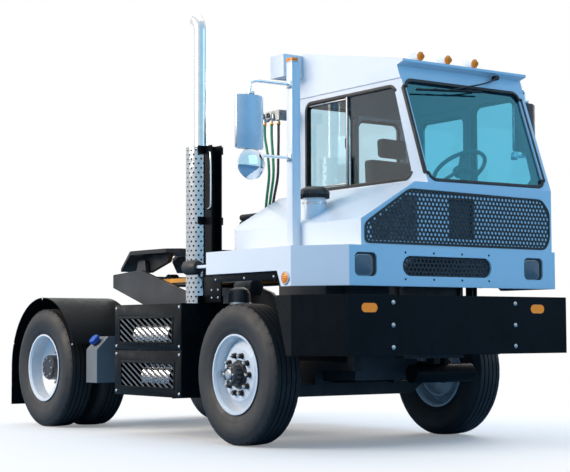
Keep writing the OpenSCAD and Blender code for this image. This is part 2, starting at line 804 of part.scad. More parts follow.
module lift_rods() {
    color("#c9cccf") both_sides() on_lift(lift_y) difference() {
        union() {
            translate([0, 0, lift_len - ram_l]) cylinder(h = ram_l - eye_in - 6, r = ram_r);
            translate([0, 0, lift_len]) rotate([90, 0, 0])
                cylinder(h = eye_w, r = eye_in + 16, center = true);
        }
        translate([0, 0, lift_len]) rotate([90, 0, 0]) cylinder(h = eye_w + 2, r = eye_in, center = true);
    }
}

// Cab panels
side_win_x0 = axle_f - 342;
foot_set = 150;
head_set = 103;
side_win = [
    [side_win_x0, win_z0], [lean(win_z0) - foot_set, win_z0],
    [lean(win_z1) - head_set, win_z1], [side_win_x0, win_z1]
];
win_r = 60;
lip = 14;
seat_gap = 0.5;
pane_t = 6;
module wall_profile() {
    polygon([
        [cab_back + wall, floor_b], [axle_f + 700, floor_b], [front_in, 1430], [front_in, belt_z],
        [lean(gutter_z) - wall, gutter_z], [cab_back + wall, gutter_z]
    ]);
}
module pane_hole(p, y_out, y_in, s) {
    along_y(min(y_out, y_in) - 1, max(y_out, y_in) + 1) polygon(soft(p, win_r));
    y_seat = y_out + s * lip;
    along_y(min(y_seat, y_in + s), max(y_seat, y_in + s)) polygon(soft(grow(p, lip), win_r + lip));
}
module pane(p, y_out, s) {
    y = y_out + s * lip;
    along_y(min(y, y + s * pane_t), max(y, y + s * pane_t))
        polygon(soft(grow(p, lip - seat_gap), win_r + lip));
}
module cab_right_wall() {
    color("#eef1f4") difference() {
        along_y(cab_right, cab_right + wall) wall_profile();
        pane_hole(side_win, cab_right, cab_right + wall, 1);
    }
}
frame_b = 60;
left_win = [
    [left_x1 + frame_b, win_z0], [lean(win_z0) - foot_set, win_z0],
    [lean(win_z1) - head_set, win_z1], [left_x1 + frame_b, win_z1]
];
hinge_r = 8;
hinge_eye = hinge_r + 5;
hinge_x = left_x1 + 8;
hinge_y = cab_left + hinge_eye + gap;
hinge_h = 36;
hinge_in = 250;
leaf_h = 12;
module hinge_pins() {
    for (z = [door_z0 + hinge_in, door_z1 - hinge_in]) {
        rod_z(hinge_x, hinge_y, z - hinge_h - 2 * leaf_h, z + hinge_h + 2 * leaf_h, hinge_r);
        for (s = [-1, 1]) block(hinge_x - hinge_r, hinge_x + 40, cab_left, hinge_y + hinge_r,
            z + s * (hinge_h + slip + leaf_h) - leaf_h, z + s * (hinge_h + slip + leaf_h) + leaf_h);
    }
}
module cab_left_wall() {
    color("#eef1f4") {
        difference() {
            union() {
                along_y(cab_left - wall, cab_left) wall_profile();
                along_y(cab_left - wall, cab_left) polygon([
                    [axle_f + 500, floor_b], [axle_f + 600, apron_z], [cab_x, apron_z], [cab_x, ledge_z],
                    [front_in, ledge_z], [front_in, ledge_z + 1], [axle_f + 500, ledge_z + 1]
                ]);
            }
            block(left_x0 - gap, left_x1 + gap, cab_left - wall - 1, cab_left + 1,
                door_z0 - gap, door_z1 + gap);
            pane_hole(left_win, cab_left, cab_left - wall, -1);
        }
        hinge_pins();
    }
}
head_x0 = cab_back - 80;
eave = 10;
hang_x0 = cab_back - 40;
hang_x1 = cab_back - 18;
hang_h = 40;
head_end = cab_right - 196;
head_z0 = gutter_z + 163;
head_z1 = gutter_z + roof_rise - 35;
rear_win = [
    [cab_right + frame_b, win_z0], [rear_y0 - frame_b, win_z0],
    [rear_y0 - frame_b, win_z1], [cab_right + frame_b, win_z1]
];
module cab_rear_wall() {
    color("#eef1f4") {
        difference() {
            block(cab_back, cab_back + wall, cab_right, cab_left, floor_b, gutter_z);
            block(cab_back - 1, cab_back + wall + 1, rear_y0, rear_y1, floor_z, door_z1 - 20);
            along_x(cab_back - 1, cab_back + wall + 1) polygon(soft(rear_win, win_r));
            along_x(cab_back + lip, cab_back + wall + 1) polygon(soft(grow(rear_win, lip), win_r + lip));
        }
    }
}
roof_t = 40;
runner = 0.4;
brow_x = axle_f + 855;
brow_t = 20;
brow_z = gutter_z + brow_rise;
header_z = brow_z - 38;
module roof_profile() {
    polygon([
        [gutter_x, gutter_z], [lean(header_z), header_z], [brow_x, brow_z - brow_t], [brow_x, brow_z],
        [cab_back, gutter_z + roof_rise], [cab_back, gutter_z]
    ]);
}
module roof_hollow() {
    polygon([
        [gutter_x - wall, gutter_z - 1], [gutter_x - wall, gutter_z + 1],
        [lean(header_z) - wall, header_z - roof_t], [cab_back + wall, gutter_z + roof_rise - 1.3 * roof_t],
        [cab_back + wall, gutter_z - 1]
    ]);
}
module cab_roof() {
    color("#eef1f4") {
        difference() {
            along_y(cab_right - eave, cab_left + eave) roof_profile();
            along_y(cab_right + wall, cab_left - wall) roof_hollow();
        }
        difference() {
            union() {
                block(head_x0, cab_back, head_end, rear_y1 + rear_lap, head_z0, head_z1);
                block(head_x0, cab_back + 100, head_end, cab_right - eave, head_z0, head_z1);
            }
            block(hang_x0 - runner, hang_x1 + runner, head_end + 20, rear_y1, head_z0 - 1,
                head_z0 + hang_h + runner);
        }
    }
}
module cab_floor() {
    color("#2a2c2f") along_y(cab_right + wall, cab_left - wall) polygon([
        [cab_back + wall, floor_b], [axle_f + 770, floor_b], [front_in, 1440], [front_in, 1500],
        [axle_f + 750, floor_z], [cab_back + wall, floor_z]
    ]);
}
grille = [
    [-763, 1447], [994, 1447], [1043, 1525], [1043, 1739], [959, 1830], [-356, 1847], [-763, 1589]
];
cover_top = 299;
module face_outline() {
    polygon([
        [-cover_y, ledge_z], [cab_left, ledge_z], [cab_left, belt_z],
        [-cover_top, belt_z], [-cover_y, cover_edge_z]
    ]);
}
slope_l = (gutter_z - belt_z) / cos(rake);
duct_z0 = ledge_z + 40;
duct_z1 = belt_z - 100;
screen_y0 = cab_right + 26;
screen_y1 = cab_left - 65;
screen = [[screen_y0, 24], [screen_y1, 30], [screen_y1, slope_l - 16], [screen_y0, slope_l - 16]];
module raked() {
    translate([cab_x, 0, belt_z]) rotate([0, -rake, 0]) children();
}
module cab_front() {
    color("#eef1f4") difference() {
        union() {
            along_x(front_in, cab_x) face_outline();
            along_y(cab_right, cab_left) polygon([
                [front_in, belt_z - 1], [cab_x, belt_z - 1], [cab_x, belt_z], [gutter_x, gutter_z],
                [gutter_x - wall, gutter_z], [front_in, belt_z]
            ]);
        }
        along_x(front_in - 1, cab_x + 1) polygon([
            [-700, duct_z0], [-280, duct_z0], [-280, duct_z1], [-380, duct_z1], [-700, duct_z0 + 120]
        ]);
        along_x(front_in - 1, cab_x + 1) polygon([
            [20, duct_z0 + 30], [270, duct_z0 + 30], [270, duct_z1], [20, duct_z1]
        ]);
        raked() along_x(-2 * wall, wall) polygon(soft(screen, win_r));
        raked() along_x(-2 * wall, -lip) polygon(soft(grow(screen, lip), win_r + lip));
    }
}
module cover_body(d) {
    r = 120;
    back = cab_back - 65;
    foot = ledge_z - (d > 0 ? 1 : 0);
    intersection() {
        along_x(back + d, front_in) polygon([
            [cab_right, foot], [-cover_y + d, foot], [-cover_y + d, cover_edge_z - d * 0.7],
            [-cover_top + d * 0.3, belt_z - d], [cab_right, belt_z - d]
        ]);
        along_z(ledge_z - 2, belt_z + 1) polygon([
            [back + d, cab_right], [back + d, -cover_y + r],
            [back + r * 0.3 + d * 0.7, -cover_y + r * 0.3 + d * 0.7],
            [back + r, -cover_y + d], [front_in, -cover_y + d], [front_in, cab_right]
        ]);
    }
}
module engine_cover() {
    color("#eef1f4") difference() {
        cover_body(0);
        cover_body(sheet);
    }
}
ap_right = -921;
skirt_z = 1262;
ap_cut = 338;
ap_back = axle_f - 273;
lamp_face = [[-777, 1298], [837, 1298]];
head_w = 196;
head_h = 164;
head_r = 38;
slot_w = 850;
slot_h = 142;
slot_z = 1294;
slot_y = -20;
module apron_strip(t) {
    polygon([
        [ap_back, -ledge_y], [apron_x - ap_cut, -ledge_y], [apron_x, ap_right], [apron_x, cab_left],
        [cab_x - 40, cab_left], [cab_x - 40, cab_left - t], [apron_x - t, cab_left - t],
        [apron_x - t, ap_right + t * 0.45], [apron_x - ap_cut - t * 0.3, -ledge_y + t],
        [ap_back, -ledge_y + t]
    ]);
}
module apron_ledge() {
    polygon([
        [ap_back, -ledge_y], [apron_x - ap_cut, -ledge_y], [apron_x, ap_right], [apron_x, cab_left],
        [cab_x, cab_left], [cab_x, -cover_y], [ap_back, -cover_y]
    ]);
}
module apron() {
    color("#eef1f4") {
        difference() {
            union() {
                along_z(apron_z, ledge_z) apron_strip(sheet);
                along_z(ledge_z - sheet, ledge_z) apron_ledge();
            }
            block(cab_x - 41, cab_x, cab_left - sheet - 1, cab_left + 1, apron_z - 1, ledge_z + 1);
            for (p = lamp_face) translate([0, p[0], p[1]])
                along_x(cab_x - 5, apron_x + 5) round_square(head_w, head_h, head_r);
            translate([0, slot_y, slot_z]) along_x(cab_x - 5, apron_x + 5) pill(slot_w, slot_h);
            along_y(-ledge_y - 1, -ledge_y + sheet + 1) polygon([
                [ap_back - 1, apron_z - 1], [axle_f + 690, apron_z - 1],
                [axle_f + 640, skirt_z], [ap_back - 1, skirt_z]
            ]);
        }
        both_sides() difference() {
            union() {
                rod_y(tilt_x, tilt_y - ear_t / 2, tilt_y + ear_t / 2, tilt_z, 40);
                block(tilt_x, cab_x + 1, tilt_y - ear_t / 2, tilt_y + ear_t / 2, tilt_z - 38, tilt_z + 38);
            }
            rod_y(tilt_x, tilt_y - ear_t, tilt_y + ear_t, tilt_z, pin_r + fit);
        }
    }
}
grille_t = 6;
grille_b = 26;
hole = 25;
step_y = 38;
step_z = step_y * sin(60);
function off_edge(p, a, b) = cross(unit(b - a), p - a);
function inside(p, outline, margin) =
    min([for (i = [0:len(outline) - 1]) off_edge(p, outline[i], outline[(i + 1) % len(outline)])]) > margin;
// Staggered holes, row by row, that lie inside an outline by the border
module hole_field(outline) {
    low = [min([for (p = outline) p[0]]), min([for (p = outline) p[1]])];
    high = [max([for (p = outline) p[0]]), max([for (p = outline) p[1]])];
    for (j = [0:floor((high[1] - low[1]) / step_z)], i = [0:floor((high[0] - low[0]) / step_y)]) {
        spot = [low[0] + grille_b + (i + (j % 2) / 2) * step_y, low[1] + grille_b + j * step_z];
        if (inside(spot, outline, hole / 2 + 4)) translate(spot) circle(d = hole, $fn = 6);
    }
}
module grilles() {
    slot = [
        [slot_y - slot_w / 2, slot_z - slot_h / 2], [slot_y + slot_w / 2, slot_z - slot_h / 2],
        [slot_y + slot_w / 2, slot_z + slot_h / 2], [slot_y - slot_w / 2, slot_z + slot_h / 2]
    ];
    color("#0e0f10") {
        along_x(cab_x, cab_x + grille_t) difference() {
            polygon(grille);
            hole_field(grille);
        }
        along_x(cab_x + 8, cab_x + 14) difference() {
            translate([slot_y, slot_z]) pill(slot_w - 1, slot_h - 1);
            hole_field(soft(slot, slot_h / 2 - 1));
        }
    }
}
module headlamps() {
    color("#d9dee2") for (p = lamp_face) translate([0, p[0], p[1]]) {
        along_x(cab_x - 40, apron_x - 12) round_square(head_w - 2 * fit, head_h - 2 * fit, head_r - fit);
    }
}
id_lamps = [12, 285, 556];
id_x = brow_x - 40;
roof_pitch = atan2(roof_rise - brow_rise, brow_x - cab_back);
lamp_gap = 0.3;
bullet_r = 27;
bullet_l = 90;
module cab_lamps() {
    color("#f08a12") {
        for (y = id_lamps) translate([id_x, y, brow_z + (brow_x - id_x) * tan(roof_pitch)])
            rotate([0, roof_pitch, 0]) translate([0, 0, lamp_gap]) {
                translate([-bullet_l, -bullet_r / 2, 0]) cube([bullet_l, bullet_r, bullet_r]);
                translate([-bullet_l, 0, bullet_r]) rotate([0, 90, 0])
                    cylinder(h = bullet_l, r1 = bullet_r * 0.6, r2 = bullet_r);
            }
        translate([post_mx + post_w / 2, post_my + post_w / 2, post_top]) cylinder(h = 40, r = 36);
        translate([axle_f + 746, -ledge_y, 1208]) rotate([90, 0, 0]) linear_extrude(14) pill(108, 44);
    }
}
module windows() {
    color([0.6, 0.75, 0.82, 0.45]) {
        pane(side_win, cab_right, 1);
        pane(left_win, cab_left, -1);
        along_x(cab_back + lip, cab_back + lip + pane_t)
            polygon(soft(grow(rear_win, lip - seat_gap), win_r + lip));
        raked() along_x(-lip - pane_t, -lip) polygon(soft(grow(screen, lip - seat_gap), win_r + lip));
    }
}
intake_x = axle_f + 370;
intake_y = -635;
intake_r = 88;
intake_z = cover_edge_z + 204;
cap_rim = 26;
cap_side = 45;
module air_intake() {
    color("#e3e6e8") difference() {
        union() {
            rod_z(intake_x, intake_y, cover_edge_z - 56, intake_z, intake_r);
            rod_z(intake_x, intake_y, intake_z - 5, intake_z + cap_side, intake_r + cap_rim);
            translate([intake_x, intake_y, intake_z + cap_side])
                cylinder(h = 40, r1 = intake_r + cap_rim, r2 = intake_r - 10);
        }
        cover_body(0);
    }
}
post_w = 75;
post_mx = axle_f + 341;
post_my = -cover_y - post_w;
post_top = gutter_z + 109;
head_my = 1215;
arm_z0 = belt_z + 200;
arm_z1 = gutter_z - 57;
arm_r = 11;
left_up = 110;
convex_r = 98;
convex_z = arm_z0 - 65;
left_mx = axle_f + 700;
head_l = 390;
module mirror_arms() {
    color("#e8ebee") {
        block(post_mx, post_mx + post_w, post_my, -cover_y, ledge_z, post_top);
        for (z = [arm_z0, arm_z1]) rod_y(post_mx + 40, -head_my, post_my + 1, z, arm_r);
        rod_z(post_mx + 40, -head_my, convex_z, arm_z1 + 15, arm_r + 2);
        rod_y(left_mx, cab_left, head_my, arm_z0 + left_up, arm_r);
        rod_y(left_mx, cab_left + eave, head_my, arm_z1 + left_up, arm_r);
        rod_z(left_mx, head_my, arm_z0 + left_up - 15, arm_z1 + left_up + 15, arm_r + 2);
    }
}
module mirror_head(x, z, s) {
    difference() {
        block(x, x + 50, s * head_my - 113, s * head_my + 113, z, z + head_l);
        rod_z(x + 25, s * head_my, z - 1, z + head_l + 1, arm_r + 2 + fit);
    }
}
module mirror_heads() {
    color("#c9ccd0") {
        mirror_head(post_mx + 15, arm_z0 + 42, -1);
        mirror_head(left_mx - 25, arm_z0 + left_up + 42, 1);
        difference() {
            rod_x(post_mx + 15, post_mx + 62, -head_my, convex_z, convex_r);
            rod_z(post_mx + 40, -head_my, convex_z - fit, convex_z + 2 * convex_r, arm_r + 2 + fit);
            block(post_mx, post_mx + post_w, -head_my - 5, post_my, arm_z0 - arm_r - 3, arm_z0 + 40);
        }
    }
}
seat_y = 650;
seat_z = floor_z + 330;
seat_x = axle_f - 200;
cushion_h = 140;
cushion_l = 470;
cushion_w = 520;
back_t = 130;
back_h = 610;
head_rest = 170;
module seat() {
    color("#26282b") {
        block(seat_x, seat_x + cushion_l - 80, seat_y - 180, seat_y + 180, floor_z, seat_z);
        block(seat_x - 40, seat_x + cushion_l, seat_y - cushion_w / 2, seat_y + cushion_w / 2,
            seat_z, seat_z + cushion_h);
        block(seat_x - back_t, seat_x, seat_y - cushion_w / 2 + 10, seat_y + cushion_w / 2 - 10,
            seat_z + 20, seat_z + 20 + back_h);
        block(seat_x - back_t + 10, seat_x - 20, seat_y - cushion_w / 4, seat_y + cushion_w / 4,
            seat_z + 20 + back_h, seat_z + 20 + back_h + head_rest);
    }
}
wheel_x = axle_f + 540;
wheel_z = belt_z + 190;
wheel_r = 215;
grip_r = 16;
wheel_tilt = 35;
dash_l = 395;
dash_foot = floor_z + 220;
module dashboard() {
    color("#2d3033") {
        along_y(cab_right + wall, cab_left - wall) polygon([
            [front_in, dash_foot], [front_in, belt_z - 20], [front_in - dash_l + 185, belt_z],
            [front_in - dash_l + 45, belt_z - 120], [front_in - dash_l + 65, dash_foot + 130]
        ]);
        translate([wheel_x, seat_y, wheel_z]) rotate([0, -wheel_tilt, 0]) {
            rotate_extrude() translate([wheel_r, 0]) circle(grip_r);
            translate([0, 0, -40]) cylinder(h = 50, r = 55);
            translate([0, 0, -420]) cylinder(h = 400, r = 32);
            for (a = [90, 210, 330]) rotate([0, 0, a])
                translate([0, -grip_r, -12]) cube([wheel_r, 2 * grip_r, 14]);
        }
    }
}
hose_y = cab_right - 190;
hose_t = 24;
rack_z0 = hose_top + 30;
rack_z1 = rack_z0 + 80;
module air_lines() {
    color("#b9c4cc") {
        block(cab_back + 10, cab_back + 40, hose_y - hose_t / 2, cab_right, rack_z0, rack_z1);
        block(hose_x[0] - 40, cab_back + 40, hose_y - hose_t / 2, hose_y + hose_t / 2, rack_z0, rack_z1);
        for (i = [0:2]) rod_z(hose_x[i], hose_y + (i - 1) * hose_t, hose_top, rack_z0 + 40, hose_r + 3);
        block(hose_foot_x - 35, cab_back - 65, hose_y - 2 * hose_t, hose_y + 2 * hose_t,
            hose_foot - 60, hose_foot);
    }
}
// One hose swept along its route: a ring of points across the path at each of its points
module hose(route, y) {
    sides = 10;
    last = len(route) - 1;
    line = [for (p = route) [p[0], hose_foot + p[1] * hang]];
    function ahead(i) = unit(line[min(i + 1, last)] - line[max(i - 1, 0)]);
    rings = [
        for (i = [0:last], k = [0:sides - 1])
            let (t = i == 0 || i == last ? [0, -1] : ahead(i), a = k * 360 / sides)
            [line[i][0] - t[1] * hose_r * cos(a), y + hose_r * sin(a), line[i][1] + t[0] * hose_r * cos(a)]
    ];
    walls = [
        for (i = [0:last - 1], k = [0:sides - 1])
            let (n = (k + 1) % sides)
            [i * sides + k, i * sides + n, (i + 1) * sides + n, (i + 1) * sides + k]
    ];
    ends = [[for (k = [sides - 1:-1:0]) k], [for (k = [0:sides - 1]) last * sides + k]];
    polyhedron(rings, concat(walls, ends));
}
module supply_hose() {
    color("#0c7a3e") hose(supply_route, hose_y - hose_t);
}
module signal_hose() {
    color("#0c7a3e") hose(signal_route, hose_y);
}
module lamp_cable() {
    color("#17191b") hose(cable_route, hose_y + hose_t);
}

// Doors
handle_z = belt_z - 100;
left_door_win = [
    [left_x0 + frame_b, win_z0], [left_x1 - frame_b, win_z0],
    [left_x1 - frame_b, door_z1 - frame_b], [left_x0 + frame_b, door_z1 - frame_b]
];
module left_door() {
    color("#eef1f4") {
        difference() {
            block(left_x0, left_x1, cab_left - wall, cab_left, door_z0, door_z1);
            pane_hole(left_door_win, cab_left, cab_left - wall, -1);
        }
        for (z = [door_z0 + hinge_in, door_z1 - hinge_in]) difference() {
            union() {
                rod_z(hinge_x, hinge_y, z - hinge_h, z + hinge_h, hinge_eye);
                block(hinge_x - 70, left_x1, cab_left, hinge_y + hinge_eye / 2, z - hinge_h, z + hinge_h);
                block(left_x1 - 1, hinge_x, hinge_y - hinge_r, hinge_y + hinge_eye / 2,
                    z - hinge_h, z + hinge_h);
            }
            rod_z(hinge_x, hinge_y, z - hinge_h - 1, z + hinge_h + 1, hinge_r + fit);
        }
        block(left_x0 + 60, left_x0 + 180, cab_left, cab_left + 40, handle_z, handle_z + 25);
    }
}
module left_door_glass() {
    color([0.6, 0.75, 0.82, 0.45]) pane(left_door_win, cab_left, -1);
}
rd_x0 = cab_back - 50;
rd_x1 = cab_back - 8;
rd_win = [
    [rear_y0 + frame_b, win_z0], [rear_y1 - frame_b, win_z0],
    [rear_y1 - frame_b, win_z1 - frame_b], [rear_y0 + frame_b, win_z1 - frame_b]
];
module rear_door() {
    color("#eef1f4") {
        difference() {
            union() {
                block(rd_x0, rd_x1, rear_y0 - rear_lap, rear_y1 + rear_lap, floor_z - 20, head_z0 - 8);
                for (y = [rear_y0 + 60, rear_y1 - 140])
                    block(hang_x0, hang_x1, y, y + 80, head_z0 - 10, head_z0 + hang_h);
            }
            along_x(rd_x0 - 1, rd_x1 + 1) polygon(soft(rd_win, win_r));
            along_x(rd_x0 + lip, rd_x1 + 1) polygon(soft(grow(rd_win, lip), win_r + lip));
        }
    }
}
module rear_door_glass() {
    color([0.6, 0.75, 0.82, 0.45]) along_x(rd_x0 + lip, rd_x0 + lip + pane_t)
        polygon(soft(grow(rd_win, lip - seat_gap), win_r + lip));
}

frame_rails();
crossmembers();
front_bumper();
chassis_lamps();
front_axle();
rear_axle();
engine();
radiator();
exhaust_case();
exhaust_stack();
stack_guard();
stack_support();
def_tank();
rear_fenders();
fuel_tank();
entry_steps();
rear_deck();
air_tank();
knuckle_left();
knuckle_right();
front_rim_left();
front_rim_right();
front_tyre_left();
front_tyre_right();
rear_rims_left();
rear_rims_right();
rear_tyres_left();
rear_tyres_right();
lift_boom();
fifth_wheel();
lift_barrels();
lift_rods();
cab_floor();
cab_front();
cab_right_wall();
cab_left_wall();
cab_rear_wall();
cab_roof();
engine_cover();
apron();
grilles();
headlamps();
cab_lamps();
windows();
air_intake();
mirror_arms();
mirror_heads();
seat();
dashboard();
air_lines();
supply_hose();
signal_hose();
lamp_cable();
left_door();
left_door_glass();
rear_door();
rear_door_glass();
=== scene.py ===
"""Yard truck: finishes, wheels, glass seals, lamps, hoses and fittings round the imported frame."""

import json
import math
from contextlib import contextmanager

import bmesh
import bpy
from mathutils import Matrix, Vector

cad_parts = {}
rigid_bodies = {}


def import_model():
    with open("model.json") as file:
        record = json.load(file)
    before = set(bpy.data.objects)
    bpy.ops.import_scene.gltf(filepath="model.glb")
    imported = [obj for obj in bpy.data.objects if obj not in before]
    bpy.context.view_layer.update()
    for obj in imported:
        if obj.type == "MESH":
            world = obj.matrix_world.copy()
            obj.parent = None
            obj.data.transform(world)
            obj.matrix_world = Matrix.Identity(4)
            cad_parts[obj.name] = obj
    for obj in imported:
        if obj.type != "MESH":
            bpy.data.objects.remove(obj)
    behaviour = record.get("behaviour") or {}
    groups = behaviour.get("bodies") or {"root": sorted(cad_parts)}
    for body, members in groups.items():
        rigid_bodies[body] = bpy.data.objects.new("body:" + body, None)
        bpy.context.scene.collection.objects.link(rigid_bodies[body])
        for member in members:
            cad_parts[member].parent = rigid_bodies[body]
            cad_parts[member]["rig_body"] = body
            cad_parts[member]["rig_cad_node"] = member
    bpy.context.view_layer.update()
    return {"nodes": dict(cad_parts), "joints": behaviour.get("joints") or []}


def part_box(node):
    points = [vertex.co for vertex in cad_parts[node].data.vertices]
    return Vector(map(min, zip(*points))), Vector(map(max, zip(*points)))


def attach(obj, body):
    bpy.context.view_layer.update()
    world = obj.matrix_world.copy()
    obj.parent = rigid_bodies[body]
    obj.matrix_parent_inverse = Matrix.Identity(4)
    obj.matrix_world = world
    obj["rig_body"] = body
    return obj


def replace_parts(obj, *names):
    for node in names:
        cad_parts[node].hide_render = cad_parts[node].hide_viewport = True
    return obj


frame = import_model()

bl_info = {
    "name": "Yard truck finishes",
    "version": (1, 0, 0),
    "blender": (4, 5, 0),
    "location": "3D View > Sidebar > Yard truck",
    "description": "Dresses a yard truck's fixed frame with its finishes, wheels, lamps and fittings",
    "category": "Object",
}

NODES = frame["nodes"]
PIVOT = {j["name"]: Vector(j["pos_m"]) for j in frame["joints"] if "pos_m" in j}
FRONT = PIVOT["front_left_spin"]
REAR = PIVOT["rear_left_spin"]
TYRE_LOW, TYRE_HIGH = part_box("front_tyre_left")
TYRE_R = (TYRE_HIGH.z - TYRE_LOW.z) / 2
TYRE_W = TYRE_HIGH.y - TYRE_LOW.y
CAB_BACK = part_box("cab_rear_wall")[0].x
CAB_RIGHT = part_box("cab_right_wall")[0].y
CAB_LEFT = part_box("cab_left_wall")[1].y
CAB_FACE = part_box("grilles")[0].x
BELT_Z = 1.900
RAKE = math.radians(19.9)
AHEAD_OF_SCREEN = Vector((math.cos(RAKE), 0, math.sin(RAKE)))
SCREEN_DEPTH = 0.072
HALF_WALL = 0.022
# The roof's front edge, ahead of the front axle and above the roof's lowest point
BROW_AHEAD, BROW_RISE = 0.855, 0.138
BEAD_R = 0.2865
FRONT_HUB_R, REAR_HUB_R = 0.107, 0.112

# Flat outlines of the upper grille and of the slot below it, as (y, z)
GRILLE = ((-0.763, 1.447), (0.994, 1.447), (1.043, 1.525), (1.043, 1.739), (0.959, 1.830), (-0.356, 1.847),
          (-0.763, 1.589))
SLOT_Y, SLOT_Z, SLOT_W, SLOT_H = -0.020, 1.294, 0.850, 0.142

# Each hose's own y, and its route as (x, z) from the rack down to the block
HOSES = {
    "supply_hose": (-0.389, (
        (0.566, 2.490), (0.566, 2.440), (0.571, 2.390), (0.583, 2.340), (0.597, 2.290), (0.609, 2.240),
        (0.618, 2.190), (0.624, 2.140), (0.626, 2.090), (0.621, 2.040), (0.611, 1.990), (0.600, 1.940),
        (0.590, 1.890), (0.583, 1.840), (0.578, 1.790), (0.574, 1.740), (0.572, 1.690), (0.572, 1.650),
        (0.572, 1.620))),
    "signal_hose": (-0.365, (
        (0.628, 2.490), (0.628, 2.440), (0.629, 2.390), (0.634, 2.340), (0.640, 2.290), (0.646, 2.240),
        (0.650, 2.190), (0.653, 2.140), (0.652, 2.090), (0.645, 2.040), (0.633, 1.990), (0.620, 1.940),
        (0.607, 1.890), (0.597, 1.840), (0.590, 1.790), (0.586, 1.740), (0.584, 1.690), (0.584, 1.650),
        (0.584, 1.620))),
    "lamp_cable": (-0.341, (
        (0.690, 2.490), (0.690, 2.440), (0.690, 2.390), (0.689, 2.340), (0.687, 2.290), (0.685, 2.240),
        (0.684, 2.190), (0.683, 2.140), (0.679, 2.090), (0.669, 2.040), (0.653, 1.990), (0.636, 1.940),
        (0.620, 1.890), (0.608, 1.840), (0.601, 1.790), (0.598, 1.740), (0.596, 1.690), (0.596, 1.650),
        (0.596, 1.620))),
}


# Sizes and colours that a user would change

class TruckPaint(bpy.types.PropertyGroup):
    body: bpy.props.FloatVectorProperty(
        name="Cab paint", description="White of the cab and covers",
        subtype="COLOR", size=3, min=0, max=1, default=(0.84, 0.86, 0.88))
    chassis: bpy.props.FloatVectorProperty(
        name="Chassis paint", description="Black of the bumper, boxes and frame",
        subtype="COLOR", size=3, min=0, max=1, default=(0.006, 0.007, 0.008))
    rims: bpy.props.FloatVectorProperty(
        name="Rim paint", description="White of the wheel discs",
        subtype="COLOR", size=3, min=0, max=1, default=(0.80, 0.82, 0.84))
    amber: bpy.props.FloatVectorProperty(
        name="Lamp amber", description="Colour of the marker lamps' lenses",
        subtype="COLOR", size=3, min=0, max=1, default=(0.95, 0.27, 0.006))
    deck: bpy.props.FloatVectorProperty(
        name="Deck orange", description="Colour of the deck behind the cab",
        subtype="COLOR", size=3, min=0, max=1, default=(0.80, 0.33, 0.03))
    glass: bpy.props.FloatVectorProperty(
        name="Glass tint", description="Tint of the cab's windows",
        subtype="COLOR", size=3, min=0, max=1, default=(0.64, 0.79, 0.85))
    # The screen's strong blue-cyan is partly the glass's own tint and partly a painted reflection of blue
    # sky.
    screen: bpy.props.FloatVectorProperty(
        name="Screen tint", description="Tint of the windscreen",
        subtype="COLOR", size=3, min=0, max=1, default=(0.14, 0.54, 0.72))
    trim: bpy.props.FloatVectorProperty(
        name="Cab trim", description="Colour of the lining inside the cab",
        subtype="COLOR", size=3, min=0, max=1, default=(0.26, 0.30, 0.33))
    supply_hose: bpy.props.FloatVectorProperty(
        name="Supply hoses", description="Colour of the two coloured air hoses",
        subtype="COLOR", size=3, min=0, max=1, default=(0.012, 0.26, 0.11))


class TruckSizes(bpy.types.PropertyGroup):
    groove_w: bpy.props.FloatProperty(
        name="Groove width", description="Width of a tread groove",
        subtype="DISTANCE", default=0.010, min=0.004, max=0.014)
    groove_d: bpy.props.FloatProperty(
        name="Groove depth", description="Depth of a tread groove",
        subtype="DISTANCE", default=0.014, min=0.004, max=0.018)
    spin_steps: bpy.props.IntProperty(
        name="Tyre steps", description="Steps round each tyre", default=160, min=48, max=240)
    nut_circle: bpy.props.FloatProperty(
        name="Nut circle", description="Radius of the circle of wheel nuts",
        subtype="DISTANCE", default=0.1425, min=0.12, max=0.18)
    nuts: bpy.props.IntProperty(
        name="Wheel nuts", description="Nuts on each wheel", default=10, min=5, max=12)
    seal_w: bpy.props.FloatProperty(
        name="Seal width", description="Width of the windows' rubber seals",
        subtype="DISTANCE", default=0.024, min=0.015, max=0.05)
    hose_d: bpy.props.FloatProperty(
        name="Hose diameter", description="Diameter of an air hose",
        subtype="DISTANCE", default=0.022, min=0.015, max=0.03)
    grille_pitch: bpy.props.FloatProperty(
        name="Grille pitch", description="Distance between the grille's holes",
        subtype="DISTANCE", default=0.036, min=0.02, max=0.06)
    grille_hole: bpy.props.FloatProperty(
        name="Grille hole", description="Radius of a hole in the grille",
        subtype="DISTANCE", default=0.0122, min=0.006, max=0.02)
    guard_pitch: bpy.props.FloatProperty(
        name="Guard pitch", description="Distance between the holes of the stack's guard",
        subtype="DISTANCE", default=0.042, min=0.016, max=0.06)
    guard_hole: bpy.props.FloatProperty(
        name="Guard hole", description="Radius of a hole in the stack's guard",
        subtype="DISTANCE", default=0.0090, min=0.005, max=0.014)


class TruckStage(bpy.types.PropertyGroup):
    focal: bpy.props.FloatProperty(
        name="Focal length", description="Focal length in pixels of a 570 pixel wide image",
        default=1479.0, min=500, max=4000)
    heading: bpy.props.FloatProperty(
        name="Heading", description="How far the camera stands round from the truck's nose",
        subtype="ANGLE", default=math.radians(35.75))
    tilt: bpy.props.FloatProperty(
        name="Tilt", description="How far the camera looks up",
        subtype="ANGLE", default=math.radians(3.71))
    roll: bpy.props.FloatProperty(
        name="Roll", description="Camera roll", subtype="ANGLE", default=math.radians(-0.19))
    place: bpy.props.FloatVectorProperty(
        name="Camera place", description="Where the camera stands",
        subtype="TRANSLATION", size=3, default=(10.248, -7.162, 0.834))


def paint():
    """The colours that the user set."""
    return bpy.context.scene.truck_paint


def sizes():
    """The sizes that the user set."""
    return bpy.context.scene.truck_sizes


# Modelling by operators

def only(obj):
    """Makes obj the one selected and active object."""
    bpy.ops.object.select_all(action="DESELECT")
    obj.select_set(True)
    bpy.context.view_layer.objects.active = obj


